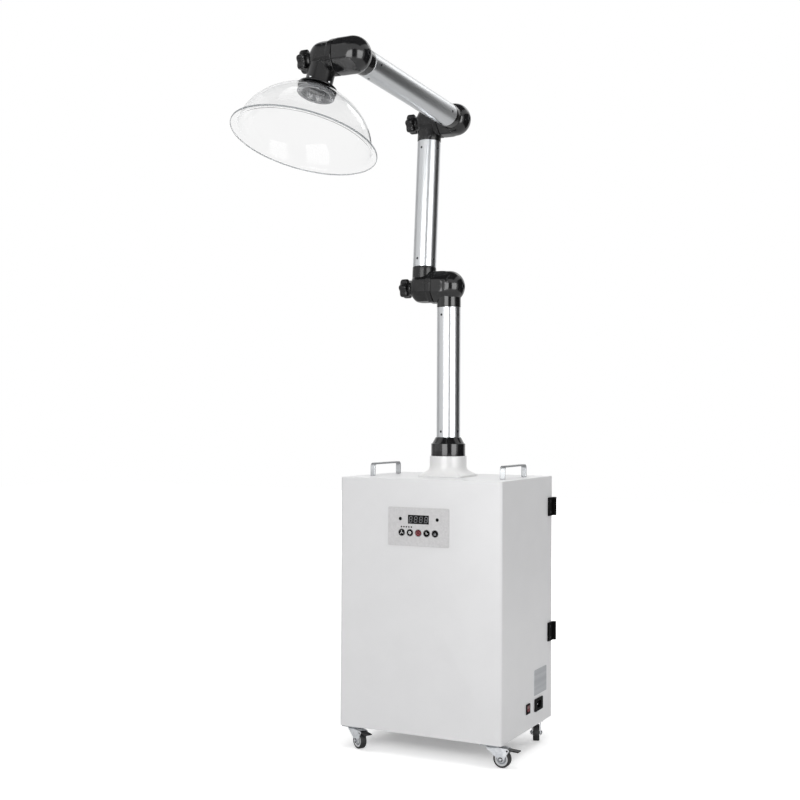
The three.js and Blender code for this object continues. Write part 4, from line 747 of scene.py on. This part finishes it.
# each half's size, the frames of its axis and of its neck, the neck and its body
elbowHalves = {
    "elbow1_ball": (broadElbow, lowerArm, lowerArm @ turnOver, plainNeck, "lower_arm"),
    "elbow1_body": (broadElbow, middleArm, middleArm @ aside, plainNeck, "middle_arm"),
    "elbow2_ball": (broadElbow, upperArm, upperArm, plainNeck, "upper_arm"),
    "elbow2_body": (broadElbow, middleEnd, middleEnd @ aside @ turnOver, plainNeck, "middle_arm"),
    "elbow3_ball": (slimElbow, upperEnd, upperEnd @ turnOver, plainNeck, "upper_arm"),
    "elbow3_body": (slimElbow, hoodArm, hoodAxis, hoodNeck, "hood_arm"),
}
for name, (sizes, axisPlace, neckPlace, neck, body) in elbowHalves.items():
    makeRows, finish, kind = (ballRows, glossNylon, "ball") if name.endswith("ball") else (knobRows, mattNylon, "knob")
    halfSkin = carry(axisPlace, elbowSkin(makeRows(*sizes)))
    elbowHalf = addPiece(name, shellsOf([halfSkin]), finish, body, [name[:6] + "_" + kind + "_half"])
    fuse(elbowHalf, shellsOf([carry(neckPlace, neck)]))
    settle(elbowHalf, finish, elbow["sharp"])
    softenEdges(elbowHalf, elbow["edge"], 3, elbow["sharp"])

bolt = {"head": 6.9, "seat": 32.7, "tall": 4.0, "shank": 4.0, "end": -115.3, "socket": 3.0, "deep": 2.6, "rim": 0.9}
star = {"radius": 21.0, "lobe": 2.4, "lobes": 6, "near": -99.8, "far": -119.6, "hub": 13.0, "foot": 5.0, "seat": -92.1,
        "chamfer": 1.6, "count": 144}
hexAngle = np.arange(48) * 2 * np.pi / 48
hexagon = 1 / np.cos((hexAngle + np.pi / 6) % (np.pi / 3) - np.pi / 6)  # 1 / cos(angle folded into 60 degrees)


# Bolt about X: a round cap head with a chamfered rim and a hexagon socket, on a round shank. A row is x, radius and
# whether it follows the hexagon, whose radius is its flat distance / cos(angle folded into 60 degrees)
def boltShape():
    seat, r, shank, socket, rim = (bolt[part] for part in ("seat", "head", "shank", "socket", "rim"))
    top, floor = seat + bolt["tall"], seat + bolt["tall"] - bolt["deep"]
    rows = np.array([(bolt["end"], shank, 0), (seat, shank, 0), (seat, r, 0), (top - rim, r, 0),
                     (top - 0.3, r - 0.3, 0), (top, r - rim, 0), (top, socket + 0.3, 1), (top - 0.4, socket, 1),
                     (floor, socket, 1), (floor, 0.2, 0)])
    return aboutX(rows[:, 0], rows[:, 1:2] * np.where(rows[:, 2:] > 0, hexagon, 1.0), hexAngle)


# Star knob about X: radius + lobe x cos(6 angle), the lobes growing out of a round hub and rounded off at both faces.
# A row is x, radius and the lobes' share
def starShape():
    angle = np.arange(star["count"]) * 2 * np.pi / star["count"]
    near, far, r, hub, seat = (star[part] for part in ("near", "far", "radius", "hub", "seat"))
    rows = np.array([(seat, star["foot"], 0), (seat - star["chamfer"], hub, 0), (near + 4, hub + 0.6, 0),
                     (near + 1.2, hub + 2.2, 0.1), (near + 0.2, r - 3.4, 0.5), (near, r - 2.4, 0.8),
                     (near - 0.7, r - 1.0, 0.95), (near - 1.8, r - 0.25, 1), (near - 3.2, r, 1), (far + 6.5, r, 1),
                     (far + 4.0, r - 0.35, 1), (far + 2.0, r - 1.4, 0.95), (far + 0.8, r - 3.0, 0.9),
                     (far + 0.2, r - 4.8, 0.8), (far, r - 7, 0.4), (far, 8, 0), (far + 0.8, 7.2, 0),
                     (far + 0.8, 0.3, 0)])
    return aboutX(rows[:, 0], rows[:, 1:2] + star["lobe"] * rows[:, 2:] * np.cos(star["lobes"] * angle), angle)


# each clamp's bolt and the body it is held by, and its knob
clamps = {"elbow1": (lowerArm, "lower_arm", middleArm), "elbow2": (upperArm, "upper_arm", middleEnd),
          "elbow3": (upperEnd, "upper_arm", hoodArm)}
for name, (boltPlace, boltBody, knobPlace) in clamps.items():
    addPiece(name + "_through_bolt", shellsOf([carry(boltPlace, boltShape())]), blackOxide, boltBody,
             [name + "_bolt"], 25)
    addPiece(name + "_star_knob", shellsOf([carry(knobPlace, starShape())]), mattNylon, name + "_knob",
             [name + "_knob"], 50)
print("elbows dressed")

# Dome profile: radius = dome x cos(u)^point and height = tall x sin(u) below the rim, from the brim to the hole
def domeRows(inset, rows=40):
    span = hood["dome"] - inset
    last = math.acos((hood["hole"] / span) ** (1 / hood["point"]))
    u = np.linspace(0, last, rows)
    return np.stack([span * np.cos(u) ** hood["point"], hood["rim"] - (hood["tall"] - inset) * np.sin(u)], -1)


# One wall of the hood: a quarter of an ellipse from the brim's level in to the dome, then the dome
def hoodWall(inset, level):
    wall = domeRows(inset)
    foot = wall[wall[:, 1] < level - hood["bend"]][0]
    turn = np.linspace(0, np.pi / 2, 9)
    bend = np.stack([foot[0] + hood["bend"] * (1 - np.cos(turn)), foot[1] + (level - foot[1]) * np.sin(turn)], -1)
    return np.concatenate([bend[::-1], wall[wall[:, 1] < foot[1]]])


brimTop, corner = hood["rim"] - hood["wall"], hood["corner"]
hoodProfile = np.concatenate([hoodWall(0, brimTop), hoodWall(hood["wall"], hood["rim"])[::-1],
                              [[hood["lip"], hood["rim"]], [hood["lip"], brimTop]]])
addPiece("hood_dome", shellsOf([carry(hoodAxis, turned(hoodProfile, 192))], "loop"), hoodAcrylic, "hood_arm",
         ["hood"], 50)
# rim: the brim's thicker polished edge, rounded at both corners; its grey, half-clear acrylic is painted shade for the
# dark line along the brim
beadTop, rimInner = hood["rim"] - hood["bead"], hood["lip"] + 0.05
rimProfile = np.concatenate([[[rimInner, hood["rim"]]],
                             arc(hood["brim"] - corner, hood["rim"] - corner, corner, 90, 0, 4),
                             arc(hood["brim"] - corner, beadTop + corner, corner, 0, -90, 4), [[rimInner, beadTop]]])
addPiece("hood_rim", shellsOf([carry(hoodAxis, turned(rimProfile, 192))], "loop"), shadedRimAcrylic, "hood_arm",
         (), 50)

# ring: a flat clamp ring that follows the dome's inside, with a bell mouth that narrows, by the power flare, into a
# sleeve in the neck; screws are their radius, their height and their turns round the ring
clampRing = {"radius": 38.2, "tall": 7.5, "mouth": 29.4, "sleeve": 23.2, "wall": 1.0, "throat": 18.0, "flare": 1.6,
             "top": 40.0, "round": 1.0, "screws": (2.2, 0.9, (143, 53, -37, -127))}
rim, bend, sleeve, mouth = (clampRing[part] for part in ("radius", "round", "sleeve", "mouth"))
seatRadii = np.linspace(hood["hole"], rim - 1.2, 6)
ringSeat = np.stack([seatRadii, domeHeight(seatRadii, hood["wall"]) + hood["gap"]], -1)
ringBottom = float(ringSeat[-1, 1]) + clampRing["tall"]
throat = np.linspace(0, 1, 8)
ringProfile = np.concatenate([
    [[sleeve + clampRing["wall"], clampRing["top"]], [sleeve + clampRing["wall"], ringSeat[0, 1]]], ringSeat,
    arc(rim - bend, ringSeat[-1, 1] + 1.4, bend, -60, 0, 4), arc(rim - bend, ringBottom - bend, bend, 0, 90, 5),
    arc(mouth + corner, ringBottom - corner, corner, 90, 180, 4),
    np.stack([sleeve + (mouth - sleeve) * throat[::-1] ** clampRing["flare"],
              ringBottom - 1.0 - clampRing["throat"] * throat], -1),
    [[sleeve, clampRing["top"]]]])
addPiece("hood_clamp_ring", shellsOf([carry(hoodAxis, turned(ringProfile, 128))], "loop"), ringNylon, "hood_arm",
         ["hood_ring"])
radius, proud, turns = clampRing["screws"]
ringHeads = [carry(hoodAxis @ turnZ(turn) @ moveBy((rim + mouth) / 2, 0, ringBottom - 0.1), screwHead(radius, proud))
             for turn in turns]
addPiece("hood_ring_screws", shellsOf(ringHeads), nickelPlate, "hood_arm")
neckScrew = {"height": 53.5, "radius": 2.7, "proud": 1.5, "turns": (98, 8, -82, -172)}
neckHeads = [carry(hoodAxis @ turnZ(turn) @ moveBy(elbow["neck"], 0, neckScrew["height"]) @ turnY(90),
                   screwHead(neckScrew["radius"], neckScrew["proud"])) for turn in neckScrew["turns"]]
addPiece("hood_neck_screws", shellsOf(neckHeads), nickelPlate, "hood_arm")
print("hood dressed")

# dish is the hub's section from its bore out, as pairs of radius and depth below the wheel's side; web is a darker ring
# that lines the dish and washer a dark ring under the axle nut, both as two radii and two heights
caster = {"x": 168, "y": 128, "trail": 20, "axle": -31, "radius": 18.82, "hub": 14.6, "width": 15.0, "round": 2.6,
          "dish": ((3.3, 0), (5.6, 0), (6.4, 0.8), (7.4, 2.2), (10.6, 2.4), (11.8, 0.8), (12.4, 0.3), (14.1, 0.4),
                   (14.54, 0.9)),
          "web": ((7.5, -2.4), (10.7, -2.5), (10.7, -2.0), (7.5, -1.9)),
          "washer": ((1.0, 11.4), (5.0, 11.4), (5.0, 12.1), (1.0, 12.1))}
# side, end and yaw of each caster
corners = {"front_right": (1, -1, 0), "front_left": (-1, -1, -30), "rear_right": (1, 1, -70), "rear_left": (-1, 1, -50)}
wheelSide, tyre = caster["width"] / 2, caster["round"]
# tread: a rounded tyre on the hub's rim, turned about the axle
tyreProfile = np.concatenate([
    [[caster["hub"], -wheelSide + 0.8]], arc(caster["radius"] - tyre, -wheelSide + tyre, tyre, -80, 0, 7),
    arc(caster["radius"] - tyre, wheelSide - tyre, tyre, 0, 80, 7), [[caster["hub"], wheelSide - 0.8]]])
hubHalf = np.array([[across, wheelSide - depth] for across, depth in caster["dish"]])
hubProfile = np.concatenate([hubHalf, hubHalf[::-1] * np.array([1, -1])])
webProfile = np.array(caster["web"]) + np.array([0, wheelSide])
nut = {"flat": 3.2, "from": 11.5, "to": 13.2, "stud": 1.9, "chamfer": 0.5, "proud": 1.0}


# axle nut about Z: a hexagon (flat distance / cos of the angle folded into 60 degrees) with a chamfer and a bolt end
def nutShape():
    flat, high, stud, tip = nut["flat"] * hexagon, nut["to"], nut["stud"] + 0 * hexAngle, nut["to"] + nut["proud"]
    rows = [(nut["from"], flat), (high - nut["chamfer"], flat), (high, np.minimum(flat, nut["flat"]) - 0.1),
            (high, stud), (tip - 0.3, stud), (tip, stud - 0.5), (tip, 0.1 + 0 * hexAngle)]
    return np.stack([np.stack([r * np.cos(hexAngle), r * np.sin(hexAngle), np.full(len(hexAngle), z)], -1)
                     for z, r in rows])


for name, (sx, sy, yaw) in corners.items():
    wheel, fork = name + "_wheel", name + "_fork"
    stand = moveBy(sx * caster["x"], sy * caster["y"], 0) @ turnZ(yaw)
    axle = stand @ moveBy(caster["trail"], 0, caster["axle"]) @ turnX(90)
    webs, washers, nuts = ([carry(axle @ turnX(side), grid) for side in (0, 180)]
                           for grid in (turned(webProfile, 64), turned(caster["washer"], 48), nutShape()))
    addPiece(name + "_tread", shellsOf([carry(axle, turned(tyreProfile))], "loop"), treadRubber, wheel,
             [name + "_caster_wheel"])
    addPiece(name + "_hub", shellsOf([carry(axle, turned(hubProfile))], "loop"), paleNylon, wheel)
    addPiece(name + "_hub_webs", shellsOf(webs, "loop"), castMetal, wheel)
    addPiece(name + "_washers", shellsOf(washers, "loop"), blackOxide, fork)
    addPiece(name + "_axle_nuts", shellsOf(nuts), nickelPlate, fork, sharp=25)
    roundedCopy(name + "_caster_fork", zincPlate, fork, "zinc_steel", 0.5, 3)
    roundedCopy(name + "_caster_plate", castMetal, "cabinet", "zinc_steel", 0.4)
    if sy < 0:
        roundedCopy(name + "_brake_pedal", mattNylon, name + "_pedal", "black_nylon", 0.7, 3)
print("casters dressed")

# the floor's glow rises from near to mid between two distances round the cabinet's footprint (m), and by far beyond:
# the lower glow under and round the cabinet is a painted shadow
sweep = {"level": -0.0499, "reach": 8.0, "albedo": "#e8e8e8", "near": 0.21, "mid": 0.53, "far": 0.6, "from": -0.13,
         "to": -0.02, "farTo": 1.5, "mirrored": 0.2, "footprint": (0.245, 0.1525)}
worldFill = 0.43


# white seen by the camera, through glass and, by its share, in reflections
def seenDirectly(tree, glossShare):
    path = addNode(tree, "ShaderNodeLightPath").outputs
    mirrored = addNode(tree, "ShaderNodeMath", {"operation": "MULTIPLY"}, {1: glossShare}, {0: path["Is Glossy Ray"]})
    straight = addNode(tree, "ShaderNodeMath", {"operation": "MAXIMUM"}, {},
                       {0: path["Is Camera Ray"], 1: path["Is Transmission Ray"]})
    return addNode(tree, "ShaderNodeMath", {"operation": "MAXIMUM"}, {},
                   {0: straight.outputs[0], 1: mirrored.outputs[0]}).outputs[0]


floorMesh = bpy.data.meshes.new("studio_floor")
floorMesh.from_pydata([(x * sweep["reach"], y * sweep["reach"], sweep["level"])
                       for x, y in ((-1, -1), (1, -1), (1, 1), (-1, 1))], [], [(0, 1, 2, 3)])
floor = bpy.data.objects.new("studio_floor", floorMesh)
bpy.context.scene.collection.objects.link(floor)
paper = bpy.data.materials.new("white_paper_sweep")
paper.use_nodes = True
tree = paper.node_tree
tree.nodes.clear()
ground = addNode(tree, "ShaderNodeTexCoord").outputs["Object"]
# distance outside the cabinet's footprint: the larger of |x| - half width and |y| - half depth
axes = addNode(tree, "ShaderNodeSeparateXYZ", {}, {}, {0: ground}).outputs
sides = [addNode(tree, "ShaderNodeMath", {"operation": "ABSOLUTE"}, {}, {0: axes[i]}).outputs[0] for i in range(2)]
beyond = [addNode(tree, "ShaderNodeMath", {"operation": "SUBTRACT"}, {1: extent}, {0: side}).outputs[0]
          for side, extent in zip(sides, sweep["footprint"])]
away = addNode(tree, "ShaderNodeMath", {"operation": "MAXIMUM"}, {}, {0: beyond[0], 1: beyond[1]}).outputs[0]
# painted shadow: the glow drops to near under the cabinet's footprint and climbs back outside it
close = addNode(tree, "ShaderNodeMapRange", {"interpolation_type": "SMOOTHSTEP"},
                {1: sweep["from"], 2: sweep["to"], 3: sweep["near"], 4: sweep["mid"]}, {0: away}).outputs[0]
paintedShadowFade = addNode(tree, "ShaderNodeMapRange", {"interpolation_type": "SMOOTHSTEP"},
                  {1: 0.0, 2: sweep["farTo"], 3: 0.0, 4: sweep["far"]}, {0: away}).outputs[0]
glowWithPaintedShadow = addNode(tree, "ShaderNodeMath", {"operation": "ADD"}, {}, {0: close, 1: paintedShadowFade}).outputs[0]
shown = addNode(tree, "ShaderNodeMath", {"operation": "MULTIPLY"}, {},
                {0: glowWithPaintedShadow, 1: seenDirectly(tree, sweep["mirrored"])}).outputs[0]
matt = addNode(tree, "ShaderNodeBsdfDiffuse", {}, {"Color": toLinear(sweep["albedo"])}).outputs[0]
shine = addNode(tree, "ShaderNodeEmission", {}, {"Color": (1, 1, 1, 1)}, {"Strength": shown}).outputs[0]
both = addNode(tree, "ShaderNodeAddShader", {}, {}, {0: matt, 1: shine}).outputs[0]
addNode(tree, "ShaderNodeOutputMaterial", {}, {}, {"Surface": both})
floorMesh.materials.append(paper)

world = bpy.data.worlds.new("white_studio")
world.use_nodes = True
tree = world.node_tree
tree.nodes.clear()
strength = addNode(tree, "ShaderNodeMapRange", {}, {3: worldFill, 4: 1.0}, {0: seenDirectly(tree, 1.0)}).outputs[0]
sky = addNode(tree, "ShaderNodeBackground", {}, {"Color": (1, 1, 1, 1)}, {"Strength": strength}).outputs[0]
addNode(tree, "ShaderNodeOutputWorld", {}, {}, {"Surface": sky})
bpy.context.scene.world = world

# place in metres, turns in degrees, lens in mm: fitted to the cabinet's corners in the photo
camera = {"place": (1.1722, -2.5508, 0.6932), "yaw": 26.94, "pitch": 0.73, "roll": 0.28, "lens": 55.23}
yaw, pitch, roll = (math.radians(camera[turn]) for turn in ("yaw", "pitch", "roll"))
ahead = np.array([-math.sin(yaw) * math.cos(pitch), math.cos(yaw) * math.cos(pitch), math.sin(pitch)])
right = np.array([math.cos(yaw), math.sin(yaw), 0])
up = np.cross(right, ahead)
rolledRight = math.cos(roll) * right + math.sin(roll) * up
rolledUp = math.cos(roll) * up - math.sin(roll) * right


# an object's matrix from its right, up and forward directions
def lookMatrix(place, rightward, upward, forward):
    matrix = np.eye(4)
    matrix[:3, 0], matrix[:3, 1], matrix[:3, 2], matrix[:3, 3] = rightward, upward, -forward, place
    return Matrix(matrix.tolist())


lens = bpy.data.cameras.new("photo_camera")
lens.lens, lens.sensor_width, lens.clip_end = camera["lens"], 36.0, 50.0
eye = bpy.data.objects.new("photo_camera", lens)
eye.matrix_world = lookMatrix(camera["place"], rolledRight, rolledUp, ahead)
bpy.context.scene.collection.objects.link(eye)
bpy.context.scene.camera = eye

# Lamps, gleam cards and dark flags stand round the object, placed by their angle from the camera's side (degrees, + to
# the right), distance and height in metres. width and tall are their sizes. A lamp's level lights the paint, a gleam's
# level shows only in reflections, and a flag is dark cloth that only reflections see.
cameraSide = math.degrees(math.atan2(camera["place"][1], camera["place"][0]))
studio = {
    "left_softbox": {"angle": -23.5, "away": 2.7, "z": 0.95, "width": 1.85, "tall": 1.9, "lamp": 1.45},
    "right_softbox": {"angle": 35.0, "away": 2.7, "z": 0.95, "width": 1.95, "tall": 1.9, "lamp": 0.86},
    "rear_softbox": {"angle": 140.0, "away": 2.4, "z": 3.0, "width": 0.8, "tall": 1.2, "lamp": 3.0},
    "rear_gleam": {"angle": 146.0, "away": 2.4, "z": 3.1, "width": 0.7, "tall": 0.9, "gleam": 1.4},
    "overhead_softbox": {"angle": -20.0, "away": 0.45, "z": 3.2, "width": 1.7, "tall": 1.7, "lamp": 4.0},
    "left_gleam": {"angle": -24.0, "away": 2.7, "z": 1.0, "width": 1.6, "tall": 2.0, "gleam": 4.7},
    "right_gleam": {"angle": 39.0, "away": 2.7, "z": 1.0, "width": 1.6, "tall": 2.0, "gleam": 4.7},
    "front_flag": {"angle": 7.5, "away": 3.2, "z": 1.2, "width": 1.4, "tall": 2.4, "shade": "#484848"},
    "right_flag": {"angle": 98.0, "away": 2.3, "z": 1.2, "width": 2.7, "tall": 2.8, "shade": "#202020"},
    "left_flag": {"angle": -120.0, "away": 2.4, "z": 1.2, "width": 1.4, "tall": 2.8, "shade": "#d6d6d6"},
    "ceiling_flag": {"angle": 0.0, "away": 0.1, "z": 3.4, "width": 3.6, "tall": 3.6, "shade": "#3e3e3e"},
}
aimAt = np.array([0, 0, 1.0])
for name, item in studio.items():
    turn = math.radians(cameraSide + item["angle"])
    place = np.array([item["away"] * math.cos(turn), item["away"] * math.sin(turn), item["z"]])
    forward = (aimAt - place) / np.linalg.norm(aimAt - place)
    rightward = np.cross(forward, [0, 0, 1.0])
    rightward /= np.linalg.norm(rightward)
    upward = np.cross(rightward, forward)
    if "shade" not in item:
        lamp = bpy.data.lights.new(name, "AREA")
        lamp.shape, lamp.size, lamp.size_y = "RECTANGLE", item["width"], item["tall"]
        lamp.energy = item.get("lamp", item.get("gleam")) * math.pi * item["width"] * item["tall"]
        holder = bpy.data.objects.new(name, lamp)
        holder.matrix_world = lookMatrix(place, rightward, upward, forward)
        holder.visible_diffuse, holder.visible_glossy = "lamp" in item, "gleam" in item
        bpy.context.scene.collection.objects.link(holder)
        continue
    spread = np.array([[-1, -1], [1, -1], [1, 1], [-1, 1]]) * [item["width"] / 2, item["tall"] / 2]
    flagMesh = bpy.data.meshes.new(name)
    flagMesh.from_pydata((place + spread[:, :1] * rightward + spread[:, 1:] * upward).tolist(), [], [(0, 1, 2, 3)])
    # dull cloth: no gloss of its own
    flagMesh.materials.append(makeFinish("studio_" + name, {
        "dark": item["shade"], "light": item["shade"], "gloss": (0.9, 1.0), "grain": 5, "mottle": 50, "bump": 0.1,
        "sockets": {"Specular IOR Level": 0.0}}))
    flag = bpy.data.objects.new(name, flagMesh)
    bpy.context.scene.collection.objects.link(flag)
    flag.visible_camera = flag.visible_shadow = flag.visible_diffuse = flag.visible_transmission = False
bpy.context.scene.view_settings.view_transform = "Standard"
print("studio set")
